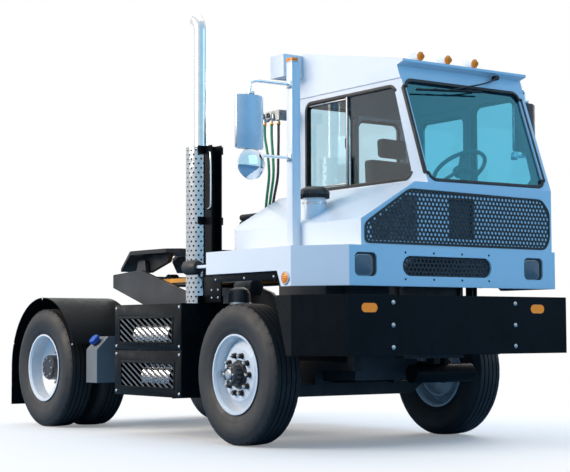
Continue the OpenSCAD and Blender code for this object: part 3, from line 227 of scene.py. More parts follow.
def added(name, primitive, **size):
    """Adds a primitive with nothing else selected, and names it."""
    bpy.ops.object.select_all(action="DESELECT")
    primitive(**size)
    obj = bpy.context.object
    obj.name = name
    obj.data.name = name
    return obj


@contextmanager
def editing(obj, mode="FACE"):
    """Edit mode on obj alone, with nothing selected in it."""
    only(obj)
    bpy.ops.object.mode_set(mode="EDIT")
    bpy.ops.mesh.select_mode(type=mode)
    bpy.ops.mesh.select_all(action="DESELECT")
    yield
    bpy.ops.object.mode_set(mode="OBJECT")


def pick(obj, kind, test):
    """Selects those faces, edges or verts of the edited mesh for which test is true."""
    bpy.ops.mesh.select_all(action="DESELECT")
    mesh = bmesh.from_edit_mesh(obj.data)
    for item in getattr(mesh, kind):
        if test(item):
            item.select_set(True)
    bmesh.update_edit_mesh(obj.data)


def cleaned(obj):
    """Merges doubles and turns every face outwards."""
    with editing(obj):
        bpy.ops.mesh.select_all(action="SELECT")
        bpy.ops.mesh.remove_doubles(threshold=1e-5)
        bpy.ops.mesh.dissolve_degenerate(threshold=1e-6)
        bpy.ops.mesh.select_all(action="SELECT")
        bpy.ops.mesh.normals_make_consistent(inside=False)
    return obj


def applied(obj, kind, **settings):
    """Adds a modifier with these settings and applies it."""
    step = obj.modifiers.new(kind.lower(), kind)
    for key, value in settings.items():
        setattr(step, key, value)
    only(obj)
    bpy.ops.object.modifier_apply(modifier=step.name)
    return obj


def softened(obj, width, segments=2, angle=35):
    """Rounds the edges that are sharper than angle."""
    return applied(obj, "BEVEL", width=width, segments=segments, limit_method="ANGLE",
                   angle_limit=math.radians(angle))


def moved(obj, matrix):
    """Moves the mesh itself, so the object stays at the origin."""
    obj.data.transform(matrix)
    obj.data.update()
    return obj


def aimed(direction):
    """Turns +Z onto direction."""
    return Vector(direction).to_track_quat("Z", "Y").to_matrix().to_4x4()


def copied(obj, matrix):
    """A copy of obj with its own mesh, moved by matrix."""
    twin = obj.copy()
    twin.data = obj.data.copy()
    bpy.context.scene.collection.objects.link(twin)
    return moved(twin, matrix)


def removed(obj):
    """Takes a master away once its copies are made."""
    bpy.data.objects.remove(obj)


def joined(name, objs):
    """Joins objs into one mesh."""
    bpy.ops.object.select_all(action="DESELECT")
    for obj in objs:
        obj.select_set(True)
    bpy.context.view_layer.objects.active = objs[0]
    if len(objs) > 1:
        bpy.ops.object.join()
    objs[0].name = name
    objs[0].data.name = name
    return objs[0]


def coated(obj, look):
    """Gives obj one finish all over."""
    obj.data.materials.clear()
    obj.data.materials.append(look)
    return obj


def finished(obj, body, smooth=35):
    """Settles a piece at the origin, smooths it and lets it ride on its body."""
    only(obj)
    bpy.ops.object.transform_apply(location=True, rotation=True, scale=True)
    bpy.ops.object.shade_smooth_by_angle(angle=math.radians(smooth))
    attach(obj, body)
    return obj


def bar(low, high, soft=0.0, name="bar"):
    """A block between two corners, with soft edges."""
    low, high = Vector(low), Vector(high)
    obj = added(name, bpy.ops.mesh.primitive_cube_add, size=1)
    moved(obj, Matrix.Translation((low + high) / 2) @ Matrix.Diagonal((*(high - low), 1)))
    return softened(obj, soft) if soft else obj


def rod(start, end, radius, sides=20, soft=None, name="rod"):
    """A round bar from start to end, with soft rims."""
    start, end = Vector(start), Vector(end)
    obj = added(name, bpy.ops.mesh.primitive_cylinder_add, vertices=sides, radius=radius,
                depth=(end - start).length)
    moved(obj, Matrix.Translation((start + end) / 2) @ aimed(end - start))
    soft = radius * 0.18 if soft is None else soft
    return softened(obj, soft) if soft else obj


def tube(points, radius, sides=12, name="tube"):
    """A bent tube through points, as a mesh with closed ends."""
    line = bpy.data.curves.new(name, "CURVE")
    line.dimensions = "3D"
    line.bevel_depth = radius
    line.bevel_resolution = sides // 4
    line.use_fill_caps = True
    line.resolution_u = 8
    spline = line.splines.new("NURBS")
    spline.points.add(len(points) - 1)
    for knot, point in zip(spline.points, points):
        knot.co = (*point, 1)
    spline.use_endpoint_u = True
    spline.order_u = 4 if len(points) > 3 else len(points)
    obj = bpy.data.objects.new(name, line)
    bpy.context.scene.collection.objects.link(obj)
    only(obj)
    bpy.ops.object.convert(target="MESH")
    obj = bpy.context.object
    return cleaned(obj)


def placed(obj, corners):
    """Puts the vertices of obj on corners, in order."""
    for vertex, corner in zip(obj.data.vertices, corners):
        vertex.co = corner
    return obj


def outlined(corners, fill="NOTHING", name="outline"):
    """A flat loop of vertices through corners, open or filled."""
    obj = added(name, bpy.ops.mesh.primitive_circle_add, vertices=len(corners), fill_type=fill)
    return placed(obj, corners)


def pushed(push):
    """Extrudes the whole of the edited sheet and turns its faces outwards."""
    bpy.ops.mesh.select_all(action="SELECT")
    bpy.ops.mesh.extrude_region_move(TRANSFORM_OT_translate={"value": push})
    bpy.ops.mesh.select_all(action="SELECT")
    bpy.ops.mesh.normals_make_consistent(inside=False)


def plate(corners, push, soft=0.0, name="plate"):
    """A flat outline pushed into a plate."""
    obj = outlined(corners, "NGON", name)
    with editing(obj):
        pushed(push)
    return softened(obj, soft) if soft else obj


def ring_plate(outer, inner, push, soft=0.0, name="ring"):
    """A flat ring between two outlines with as many points, pushed into a plate."""
    obj = joined(name, [outlined(outer), outlined(inner)])
    with editing(obj, "EDGE"):
        bpy.ops.mesh.select_all(action="SELECT")
        bpy.ops.mesh.bridge_edge_loops()
        pushed(push)
    return softened(obj, soft) if soft else obj


def border(corners, width, push, name="border"):
    """The rim of a flat outline, pushed into a strip."""
    obj = outlined(corners, "NGON", name)
    with editing(obj):
        bpy.ops.mesh.select_all(action="SELECT")
        bpy.ops.mesh.inset(thickness=width, depth=0.0)
        bpy.ops.mesh.delete(type="FACE")
        pushed(push)
    return obj


def trimmed(obj, planes, fill=False):
    """Cuts away what lies outside each plane, given as a point on it and its outward direction."""
    for point, outward in planes:
        with editing(obj):
            bpy.ops.mesh.select_all(action="SELECT")
            bpy.ops.mesh.bisect(plane_co=point, plane_no=outward, clear_outer=True, use_fill=fill)
    return obj


def perforated(pitch, hole, size, corners=12, name="sheet"):
    """A flat sheet of six-sided cells with a hole in each, over a rectangle from the origin to size."""
    row = pitch * math.sqrt(3) / 2
    cell = added(name, bpy.ops.mesh.primitive_circle_add, vertices=6, radius=pitch / math.sqrt(3))
    with editing(cell, "EDGE"):
        bpy.ops.mesh.select_all(action="SELECT")
        if corners == 12:
            bpy.ops.mesh.subdivide(number_cuts=1)
        bpy.ops.mesh.extrude_edges_move()
    for vertex in cell.data.vertices:
        if vertex.select:
            vertex.co = vertex.co.normalized() * hole
    applied(cell, "ARRAY", count=math.ceil(size[0] / pitch) + 2, use_relative_offset=False,
            use_constant_offset=True, constant_offset_displace=(pitch, 0, 0))
    pair = joined(name, [cell, copied(cell, Matrix.Translation((pitch / 2, row, 0)))])
    applied(pair, "ARRAY", count=math.ceil(size[1] / row / 2) + 2, use_relative_offset=False,
            use_constant_offset=True, constant_offset_displace=(0, 2 * row, 0))
    return cleaned(moved(pair, Matrix.Translation((-pitch / 2, -row / 2, 0))))


def turned(outline, steps=40, name="turned"):
    """Spins a closed outline of (radius, height) points round Z."""
    obj = outlined([(radius, 0, height) for radius, height in outline], name=name)
    with editing(obj, "EDGE"):
        bpy.ops.mesh.select_all(action="SELECT")
        bpy.ops.mesh.spin(steps=steps, angle=2 * math.pi, center=(0, 0, 0), axis=(0, 0, 1))
    return cleaned(obj)


def rounded(width, height, radius, steps=6):
    """Corner points of a rounded rectangle round the origin."""
    points = []
    for turn, (sx, sy) in enumerate(((1, 1), (-1, 1), (-1, -1), (1, -1))):
        for step in range(steps + 1):
            angle = math.radians(90) * (turn + step / steps)
            points.append((sx * (width / 2 - radius) + radius * math.cos(angle),
                           sy * (height / 2 - radius) + radius * math.sin(angle)))
    return points


def facing_x(points, x, y, z):
    """Places flat points in the plane that faces forward, at x."""
    return [(x, y + across, z + up) for across, up in points]


def curved(points, radius, steps=4):
    """A flat outline with its corners rounded off."""
    soft = []
    corners = [Vector(point) for point in points]
    for index, here in enumerate(corners):
        last, after = corners[index - 1], corners[(index + 1) % len(corners)]
        start = here + (last - here).normalized() * radius
        end = here + (after - here).normalized() * radius
        for step in range(steps + 1):
            share = step / steps
            soft.append(tuple(start.lerp(here, share).lerp(here.lerp(end, share), share)))
    return soft


def bolt_mesh(radius, height, look):
    """A domed bolt head on the XY plane."""
    dome = [(radius, height * 0.35), (radius * 0.72, height * 0.8), (0, height)]
    outline = [(0, 0), (radius, 0), *dome]
    return coated(turned(outline, 16, "bolt"), look)


def set_on(master, spots, direction):
    """Copies of master on each spot, pointing along direction."""
    return [copied(master, Matrix.Translation(spot) @ aimed(direction)) for spot in spots]


# Shader node helpers

def put(socket, value):
    """Links a socket to value, or sets it."""
    if isinstance(value, bpy.types.NodeSocket):
        socket.id_data.links.new(value, socket)
    else:
        socket.default_value = value


def add(tree, kind, settings=None, **inputs):
    """Adds a shader node with its settings and its inputs set or linked."""
    node = tree.nodes.new(kind)
    for key, value in (settings or {}).items():
        setattr(node, key, value)
    for key, value in inputs.items():
        put(node.inputs[key.replace("_", " ")], value)
    return node


def calc(tree, operation, *values, clamp=False):
    """The result of a sum on numbers or sockets."""
    node = add(tree, "ShaderNodeMath", {"operation": operation, "use_clamp": clamp})
    for socket, value in zip(node.inputs, values):
        put(socket, value)
    return node.outputs[0]


def mixed(tree, share, first, second):
    """A colour between first and second."""
    node = add(tree, "ShaderNodeMix", {"data_type": "RGBA"})
    for index, value in ((0, share), (6, first), (7, second)):
        put(node.inputs[index], value)
    return node.outputs[2]


def ranged(tree, value, low, high, to_low, to_high):
    """Takes a value from one range to another."""
    return add(tree, "ShaderNodeMapRange", Value=value, From_Min=low, From_Max=high,
               To_Min=to_low, To_Max=to_high).outputs[0]


def grouped(name, inputs, outputs, build):
    """A shader node group with named sockets, built by build(tree, entry, leave)."""
    tree = bpy.data.node_groups.new(name, "ShaderNodeTree")
    for label, kind, value in inputs:
        tree.interface.new_socket(label, in_out="INPUT", socket_type=kind).default_value = value
    for label, kind in outputs:
        tree.interface.new_socket(label, in_out="OUTPUT", socket_type=kind)
    build(tree, tree.nodes.new("NodeGroupInput").outputs, tree.nodes.new("NodeGroupOutput").inputs)
    return tree


def used(tree, name, **inputs):
    """Places a group in a material."""
    return add(tree, "ShaderNodeGroup", {"node_tree": bpy.data.node_groups[name]}, **inputs).outputs


def spots_of(tree):
    """The place on the truck, in metres."""
    return add(tree, "ShaderNodeTexCoord").outputs["Object"]


def build_speckle(tree, entry, leave):
    """Soft noise at one scale."""
    noise = add(tree, "ShaderNodeTexNoise", Vector=spots_of(tree), Scale=entry["Scale"], Detail=4.0)
    put(leave["Value"], noise.outputs[0])


def build_dust(tree, entry, leave):
    """Patchy dust, thicker low down and on what faces up."""
    place = spots_of(tree)
    height = add(tree, "ShaderNodeSeparateXYZ", Vector=place).outputs["Z"]
    low = calc(tree, "SUBTRACT", 1.0, calc(tree, "DIVIDE", height, entry["Reach"]), clamp=True)
    cloud = add(tree, "ShaderNodeTexNoise", Vector=place, Scale=5.0, Detail=7.0, Roughness=0.62).outputs[0]
    normal = add(tree, "ShaderNodeNewGeometry").outputs["Normal"]
    up = add(tree, "ShaderNodeSeparateXYZ", Vector=normal).outputs["Z"]
    settled = calc(tree, "MULTIPLY", calc(tree, "MAXIMUM", up, 0.0), 0.55)
    heavy = calc(tree, "ADD", calc(tree, "POWER", low, 1.5), settled)
    patchy = calc(tree, "MULTIPLY", heavy, ranged(tree, cloud, 0.38, 0.72, 0.15, 1.0))
    put(leave["Mask"], calc(tree, "MULTIPLY", patchy, entry["Amount"], clamp=True))


def dotted(tree, first, second):
    """The dot product of two directions or places."""
    dot = add(tree, "ShaderNodeVectorMath", {"operation": "DOT_PRODUCT"})
    put(dot.inputs[0], first)
    put(dot.inputs[1], second)
    return dot.outputs["Value"]


def build_edges(tree, entry, leave):
    """Softened normals, and a chipped mask where they bend."""
    soft = add(tree, "ShaderNodeBevel", {"samples": 4}, Radius=entry["Radius"]).outputs[0]
    true = add(tree, "ShaderNodeNewGeometry").outputs["Normal"]
    bend = ranged(tree, calc(tree, "SUBTRACT", 1.0, dotted(tree, soft, true)), 0.05, 0.25, 0.0, 1.0)
    noise = add(tree, "ShaderNodeTexNoise", Vector=spots_of(tree), Scale=38.0, Detail=6.0).outputs[0]
    chips = ranged(tree, noise, 0.45, 0.62, 0.0, 1.0)
    put(leave["Mask"], calc(tree, "MULTIPLY", bend, chips))
    put(leave["Normal"], soft)


def behind(tree, place, point, normal):
    """1 where place lies more than half a wall behind the plane through point."""
    level = Vector(point).dot(Vector(normal)) - HALF_WALL
    return calc(tree, "LESS_THAN", dotted(tree, place, normal), level)


def build_inside(tree, entry, leave):
    """1 on the inner faces of the cab's walls and roof. It takes no inputs."""
    roof_low, roof_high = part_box("cab_roof")
    brow = Vector((FRONT.x + BROW_AHEAD, 0, roof_low.z + BROW_RISE))
    eave = Vector((CAB_BACK, 0, roof_high.z))
    along = (brow - eave).normalized()
    planes = (
        ((CAB_BACK, 0, 0), (-1, 0, 0)),
        ((0, CAB_RIGHT, 0), (0, -1, 0)),
        ((0, CAB_LEFT, 0), (0, 1, 0)),
        ((CAB_FACE, 0, 0), (1, 0, 0)),
        ((CAB_FACE, 0, BELT_Z), AHEAD_OF_SCREEN),
        (tuple(eave), (-along.z, 0, along.x)),
    )
    place = spots_of(tree)
    mask = 1.0
    for point, normal in planes:
        mask = calc(tree, "MULTIPLY", mask, behind(tree, place, point, normal))
    put(leave["Mask"], mask)


def build_ring(tree, entry, leave):
    """Distance from an axle along Y, and a mask of what lies nearer than the radius."""
    away = add(tree, "ShaderNodeVectorMath", {"operation": "SUBTRACT"})
    put(away.inputs[0], spots_of(tree))
    put(away.inputs[1], entry["Centre"])
    flat = add(tree, "ShaderNodeVectorMath", {"operation": "MULTIPLY"})
    put(flat.inputs[0], away.outputs[0])
    put(flat.inputs[1], (1, 0, 1))
    far = add(tree, "ShaderNodeVectorMath", {"operation": "LENGTH"})
    put(far.inputs[0], flat.outputs[0])
    put(leave["Mask"], calc(tree, "LESS_THAN", far.outputs["Value"], entry["Radius"]))
    put(leave["Distance"], far.outputs["Value"])


def make_groups():
    """Builds the node groups that the finishes share."""
    number = "NodeSocketFloat"
    grouped("Speckle", [("Scale", number, 40.0)], [("Value", number)], build_speckle)
    grouped("Road dust", [("Amount", number, 0.3), ("Reach", number, 1.2)], [("Mask", number)], build_dust)
    grouped("Worn edges", [("Radius", number, 0.004)],
            [("Mask", number), ("Normal", "NodeSocketVector")], build_edges)
    grouped("Cab inside", [], [("Mask", number)], build_inside)
    grouped("Round the axle", [("Centre", "NodeSocketVector", (0, 0, 0)), ("Radius", number, 0.1)],
            [("Mask", number), ("Distance", number)], build_ring)


DUST = (0.30, 0.27, 0.235, 1)


def blank(name):
    """A new material and its tree and shader."""
    look = bpy.data.materials.new(name)
    look.use_nodes = True
    tree = look.node_tree
    return look, tree, tree.nodes["Principled BSDF"]


def rgba(colour):
    """A colour with full cover."""
    return (*colour[:3], 1.0)


def surfaced(name, colour, rough, metallic=0.0, vary=0.10, grain=(420.0, 0.05), dust=(0.25, 1.1), edge=0.004,
             bare=None, coat=0.0, spread=0.10):
    """A painted or cast surface: uneven tone, fine grain, dust low down and bare metal on worn edges."""
    look, tree, shader = blank(name)
    tone = used(tree, "Speckle", Scale=3.5)["Value"]
    deep = tuple(c * (1 - vary) for c in colour)
    pale = tuple(min(1.0, c * (1 + vary)) for c in colour)
    base = mixed(tree, ranged(tree, tone, 0.3, 0.7, 0.0, 1.0), rgba(deep), rgba(pale))
    edges = used(tree, "Worn edges", Radius=edge)
    if bare:
        base = mixed(tree, calc(tree, "MULTIPLY", edges["Mask"], bare[1]), base, rgba(bare[0]))
    veil = used(tree, "Road dust", Amount=dust[0], Reach=dust[1])["Mask"]
    put(shader.inputs["Base Color"], mixed(tree, veil, base, DUST))
    smear = used(tree, "Speckle", Scale=14.0)["Value"]
    gloss = ranged(tree, smear, 0.3, 0.7, max(0.02, rough - spread), min(1.0, rough + spread))
    put(shader.inputs["Roughness"], calc(tree, "ADD", gloss, calc(tree, "MULTIPLY", veil, 0.35), clamp=True))
    shader.inputs["Metallic"].default_value = metallic
    shader.inputs["Coat Weight"].default_value = coat
    shader.inputs["Coat Roughness"].default_value = 0.08
    fine = used(tree, "Speckle", Scale=grain[0])["Value"]
    bump = add(tree, "ShaderNodeBump", Strength=grain[1], Distance=0.002, Height=fine, Normal=edges["Normal"])
    put(shader.inputs["Normal"], bump.outputs[0])
    return look, tree, shader


def cab_paint():
    """White paint outside and a moulded lining inside the cab."""
    look, tree, shader = surfaced("cab white", paint().body, 0.30, vary=0.006, grain=(90.0, 0.004),
                                  dust=(0.04, 1.5), edge=0.006, coat=0.3, spread=0.02)
    inside = used(tree, "Cab inside")["Mask"]
    outer = shader.inputs["Base Color"].links[0].from_socket
    weave = ranged(tree, used(tree, "Speckle", Scale=160.0)["Value"], 0.3, 0.7, 0.75, 1.25)
    tinted = add(tree, "ShaderNodeVectorMath", {"operation": "SCALE"})
    tinted.inputs[0].default_value = paint().trim
    put(tinted.inputs["Scale"], weave)
    put(shader.inputs["Base Color"], mixed(tree, inside, outer, tinted.outputs[0]))
    shine = shader.inputs["Roughness"].links[0].from_socket
    put(shader.inputs["Roughness"], calc(tree, "MAXIMUM", shine, calc(tree, "MULTIPLY", inside, 0.7)))
    put(shader.inputs["Coat Weight"], calc(tree, "MULTIPLY", calc(tree, "SUBTRACT", 1.0, inside), 0.3))
    return look


def rim_paint(name, centre, hub_r):
    """White rim paint with the cast hub dark in its middle."""
    look, tree, shader = surfaced(name, paint().rims, 0.30, vary=0.03, dust=(0.20, 0.9), coat=0.3)
    near = used(tree, "Round the axle", Centre=centre, Radius=hub_r)
    outer = shader.inputs["Base Color"].links[0].from_socket
    cast = used(tree, "Speckle", Scale=60.0)["Value"]
    iron = mixed(tree, cast, (0.012, 0.012, 0.013, 1), (0.045, 0.042, 0.04, 1))
    put(shader.inputs["Base Color"], mixed(tree, near["Mask"], outer, iron))
    return look


def rubber_of(name, centre):
    """Tyre rubber: grey bloom on the sidewalls, darker tread, fine rings."""
    look, tree, shader = blank(name)
    near = used(tree, "Round the axle", Centre=centre, Radius=TYRE_R - 0.02)
    cloud = used(tree, "Speckle", Scale=9.0)["Value"]
    bloom = calc(tree, "MULTIPLY", near["Mask"], ranged(tree, cloud, 0.3, 0.7, 0.35, 1.0))
    base = mixed(tree, bloom, (0.009, 0.009, 0.010, 1), (0.026, 0.026, 0.027, 1))
    veil = used(tree, "Road dust", Amount=0.16, Reach=1.0)["Mask"]
    put(shader.inputs["Base Color"], mixed(tree, veil, base, (0.12, 0.11, 0.10, 1)))
    put(shader.inputs["Roughness"], ranged(tree, cloud, 0.3, 0.7, 0.48, 0.72))
    rings = calc(tree, "SINE", calc(tree, "MULTIPLY", near["Distance"], 1300.0))
    ridged = calc(tree, "MULTIPLY", calc(tree, "MULTIPLY", rings, near["Mask"]), 0.25)
    rough = calc(tree, "ADD", ridged, used(tree, "Speckle", Scale=700.0)["Value"])
    bump = add(tree, "ShaderNodeBump", Strength=0.18, Distance=0.002, Height=rough)
    put(shader.inputs["Normal"], bump.outputs[0])
    return look


def chrome_of(name, tone=(0.78, 0.79, 0.80), rough=0.12, smoke=0.25):
    """Bright metal with faint wipe marks."""
    look, tree, shader = blank(name)
    smear = used(tree, "Speckle", Scale=18.0)["Value"]
    base = mixed(tree, calc(tree, "MULTIPLY", ranged(tree, smear, 0.4, 0.7, 0.0, 1.0), smoke),
                 rgba(tone), rgba(tuple(c * 0.72 for c in tone)))
    put(shader.inputs["Base Color"], base)
    put(shader.inputs["Roughness"], ranged(tree, smear, 0.3, 0.7, rough * 0.6, rough * 1.5))
    shader.inputs["Metallic"].default_value = 1.0
    fine = used(tree, "Speckle", Scale=300.0)["Value"]
    bump = add(tree, "ShaderNodeBump", Strength=0.02, Distance=0.001, Height=fine)
    put(shader.inputs["Normal"], bump.outputs[0])
    return look


def glass_of(name, tint, haze, bending, sheen):
    """Tinted glass with faint wipe marks."""
    look, tree, shader = blank(name)
    smear = used(tree, "Speckle", Scale=6.0)["Value"]
    hazed = tuple(min(1.0, c * haze) for c in tint)
    put(shader.inputs["Base Color"], mixed(tree, smear, rgba(tint), rgba(hazed)))
    put(shader.inputs["Roughness"], ranged(tree, smear, 0.45, 0.75, 0.0, 0.05))
    shader.inputs["Transmission Weight"].default_value = 1.0
    shader.inputs["IOR"].default_value = bending
    # A coloured sheen is a painted reflection: on the windscreen it paints the blue of the sky into the
    # glass's shine.
    shader.inputs["Specular Tint"].default_value = rgba(sheen)
    return look


def lens_of(name, colour, glow=0.0, pitch=420.0):
    """Moulded lamp lens with fine prisms; its tone follows the prisms as painted shade and highlight, and its
    glow is painted light.
    """
    look, tree, shader = blank(name)
    cross = add(tree, "ShaderNodeSeparateXYZ", Vector=spots_of(tree)).outputs
    prism = calc(tree, "MULTIPLY", calc(tree, "SINE", calc(tree, "MULTIPLY", cross["Y"], pitch)),
                 calc(tree, "SINE", calc(tree, "MULTIPLY", cross["Z"], pitch)))
    # Dark and full colour alternate with the prisms: painted shade and highlight on their facets.
    deep = tuple(c * 0.55 for c in colour)
    tone = ranged(tree, prism, -1.0, 1.0, 0.0, 1.0)
    put(shader.inputs["Base Color"], mixed(tree, tone, rgba(deep), rgba(colour)))
    put(shader.inputs["Roughness"], ranged(tree, prism, -1.0, 1.0, 0.22, 0.34))
    shader.inputs["Coat Weight"].default_value = 0.3
    shader.inputs["Coat Roughness"].default_value = 0.06
    shader.inputs["Specular IOR Level"].default_value = 0.3
    # The glow is painted light: it makes the lenses brighter than the lamps light them.
    if glow:
        put(shader.inputs["Emission Color"], mixed(tree, prism, rgba(deep), rgba(colour)))
        shader.inputs["Emission Strength"].default_value = glow
    bump = add(tree, "ShaderNodeBump", Strength=0.35, Distance=0.002, Height=prism)
    put(shader.inputs["Normal"], bump.outputs[0])
    return look


def chassis_lens():
    """Amber lens ahead, red lens behind."""
    look = lens_of("chassis lens", paint().amber, 0.6)
    tree = look.node_tree
    shader = tree.nodes["Principled BSDF"]
    along = add(tree, "ShaderNodeSeparateXYZ", Vector=spots_of(tree)).outputs["X"]
    rear = calc(tree, "LESS_THAN", along, 0.0)
    # Both the amber and the red also glow, as painted light.
    for name in ("Base Color", "Emission Color"):
        amber = shader.inputs[name].links[0].from_socket
        put(shader.inputs[name], mixed(tree, rear, amber, (0.45, 0.010, 0.008, 1)))
    return look


def seat_cloth():
    """Dark woven cloth."""
    look, tree, shader = blank("seat cloth")
    place = spots_of(tree)
    weave = add(tree, "ShaderNodeTexWave", {"wave_type": "BANDS", "bands_direction": "DIAGONAL"},
                Vector=place, Scale=180.0, Distortion=2.0).outputs[0]
    put(shader.inputs["Base Color"], mixed(tree, weave, (0.020, 0.021, 0.024, 1), (0.055, 0.058, 0.065, 1)))
    put(shader.inputs["Roughness"], ranged(tree, weave, 0.0, 1.0, 0.78, 0.95))
    shader.inputs["Sheen Weight"].default_value = 0.4
    bump = add(tree, "ShaderNodeBump", Strength=0.4, Distance=0.002, Height=weave)
    put(shader.inputs["Normal"], bump.outputs[0])
    return look


def deck_plate():
    """Orange deck with a raised diamond pattern."""
    look, tree, shader = surfaced("deck orange", paint().deck, 0.45, vary=0.14, dust=(0.35, 2.0),
                                  bare=((0.35, 0.34, 0.33), 0.7))
    cross = add(tree, "ShaderNodeSeparateXYZ", Vector=spots_of(tree)).outputs
    legs = calc(tree, "LESS_THAN", cross["Z"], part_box("rear_deck")[1].z - 0.035)
    top = shader.inputs["Base Color"].links[0].from_socket
    put(shader.inputs["Base Color"], mixed(tree, legs, top, rgba(paint().chassis)))
    first = calc(tree, "SINE", calc(tree, "MULTIPLY", calc(tree, "ADD", cross["X"], cross["Y"]), 160.0))
    second = calc(tree, "SINE", calc(tree, "MULTIPLY", calc(tree, "SUBTRACT", cross["X"], cross["Y"]), 160.0))
    raised = calc(tree, "MAXIMUM", first, second)
    bump = add(tree, "ShaderNodeBump", Strength=0.5, Distance=0.004, Height=raised)
    put(shader.inputs["Normal"], bump.outputs[0])
    return look


def black_paint():
    """Deep black paint with little shine."""
    look, _, shader = surfaced("black paint", paint().chassis, 0.34, vary=0.25, grain=(520.0, 0.06),
                               dust=(0.015, 1.1), bare=(STEEL, 0.25))
    shader.inputs["Specular IOR Level"].default_value = 0.09
    return look


LOOKS = {}
STEEL = (0.34, 0.33, 0.32)

# Finishes with a colour of their own, apart from the mesh's grey, which is a painted highlight: name, colour,
# roughness and what else sets them apart
FINISHES = {
    "cast": ("cast iron", (0.020, 0.020, 0.022), 0.52, dict(
        metallic=0.3, vary=0.3, grain=(150.0, 0.35), dust=(0.12, 1.0), bare=((0.42, 0.41, 0.40), 0.6))),
    "boom": ("worn boom", (0.040, 0.042, 0.046), 0.42, dict(
        metallic=0.25, vary=0.45, grain=(90.0, 0.12), dust=(0.12, 1.6), bare=((0.40, 0.40, 0.40), 0.8))),
    "engine": ("engine grey", (0.05, 0.053, 0.056), 0.55, dict(
        metallic=0.2, vary=0.3, grain=(110.0, 0.3), dust=(0.2, 1.2))),
    "tank": ("tank plastic", (0.17, 0.175, 0.18), 0.55, dict(
        vary=0.15, grain=(180.0, 0.22), dust=(0.12, 1.0))),
    "rubber": ("seal rubber", (0.014, 0.014, 0.015), 0.55, dict(
        vary=0.2, grain=(420.0, 0.12), dust=(0.04, 2.0))),
    "nut": ("blackened steel", (0.014, 0.014, 0.015), 0.36, dict(
        metallic=0.6, vary=0.3, grain=(300.0, 0.1), dust=(0.05, 1.0), edge=0.002,
        bare=((0.45, 0.43, 0.41), 0.5))),
    "zinc": ("zinc plate", (0.55, 0.55, 0.54), 0.32, dict(
        metallic=1.0, vary=0.12, grain=(200.0, 0.08), dust=(0.1, 1.2), edge=0.002)),
    "blue cap": ("blue cap", (0.010, 0.090, 0.42), 0.35, dict(vary=0.1, dust=(0.03, 1.0), edge=0.002)),
    "mirror body": ("mirror shell", (0.78, 0.80, 0.82), 0.25, dict(
        vary=0.02, dust=(0.02, 3.0), edge=0.004, coat=0.5)),
    "window metal": ("window metal", (0.30, 0.31, 0.32), 0.34, dict(
        metallic=0.8, vary=0.1, dust=(0.02, 3.0), edge=0.002)),
    "trim black": ("moulded black", (0.018, 0.019, 0.021), 0.45, dict(
        vary=0.2, grain=(240.0, 0.15), dust=(0.03, 3.0), edge=0.002)),
    # The mesh's grey is a painted highlight: dark bars are coloured as lit grey, the way their edges catch
    # the light.
    "mesh": ("mesh paint", (0.11, 0.115, 0.12), 0.4, dict(vary=0.15, dust=(0.02, 1.0), edge=0.001)),
    "black hose": ("control hose", (0.016, 0.017, 0.019), 0.42, dict(
        vary=0.2, grain=(500.0, 0.08), dust=(0.03, 2.0), edge=0.001)),
    "brass": ("brass", (0.60, 0.36, 0.13), 0.3, dict(metallic=1.0, vary=0.1, dust=(0.05, 2.0), edge=0.001)),
}


def make_looks():
    """Builds every finish: those in the user's colours, the plain ones, bright metal, glass and lenses."""
    LOOKS["white"] = cab_paint()
    LOOKS["black"] = black_paint()
    LOOKS["frame"] = surfaced("chassis black", tuple(c * 1.2 for c in paint().chassis), 0.46, vary=0.3,
                              grain=(300.0, 0.12), dust=(0.10, 1.0), bare=(STEEL, 0.3))[0]
    LOOKS["trim"] = surfaced("moulded trim", paint().trim, 0.62, vary=0.12, grain=(240.0, 0.25),
                             dust=(0.03, 2.0))[0]
    LOOKS["green hose"] = surfaced("supply hose", paint().supply_hose, 0.42, vary=0.15, grain=(500.0, 0.08),
                                   dust=(0.03, 2.0), edge=0.001)[0]
    LOOKS["deck"] = deck_plate()
    for key, (name, colour, rough, more) in FINISHES.items():
        LOOKS[key] = surfaced(name, colour, rough, **more)[0]
    LOOKS["chrome"] = chrome_of("chrome")
    LOOKS["bright"] = chrome_of("bright steel", (0.62, 0.63, 0.65), 0.26, 0.4)
    LOOKS["guard"] = chrome_of("guard steel", (0.50, 0.54, 0.58), 0.14, 0.35)
    LOOKS["mirror"] = chrome_of("mirror glass", (0.86, 0.88, 0.90), 0.02, 0.05)
    LOOKS["glass"] = glass_of("window glass", paint().glass, 1.06, 1.45, (1, 1, 1))
    # The windscreen's blue sheen and strong blue tint are partly a painted reflection of blue sky.
    LOOKS["screen"] = glass_of("screen glass", paint().screen, 1.01, 2.05, (0.22, 0.80, 1.0))
    # The lenses' glow is painted light.
    LOOKS["amber"] = lens_of("amber lens", paint().amber, 0.25)
    LOOKS["chassis lens"] = chassis_lens()
    LOOKS["lamp glass"] = lens_of("headlamp glass", (0.16, 0.18, 0.20), 0.0, 300.0)
    LOOKS["cloth"] = seat_cloth()


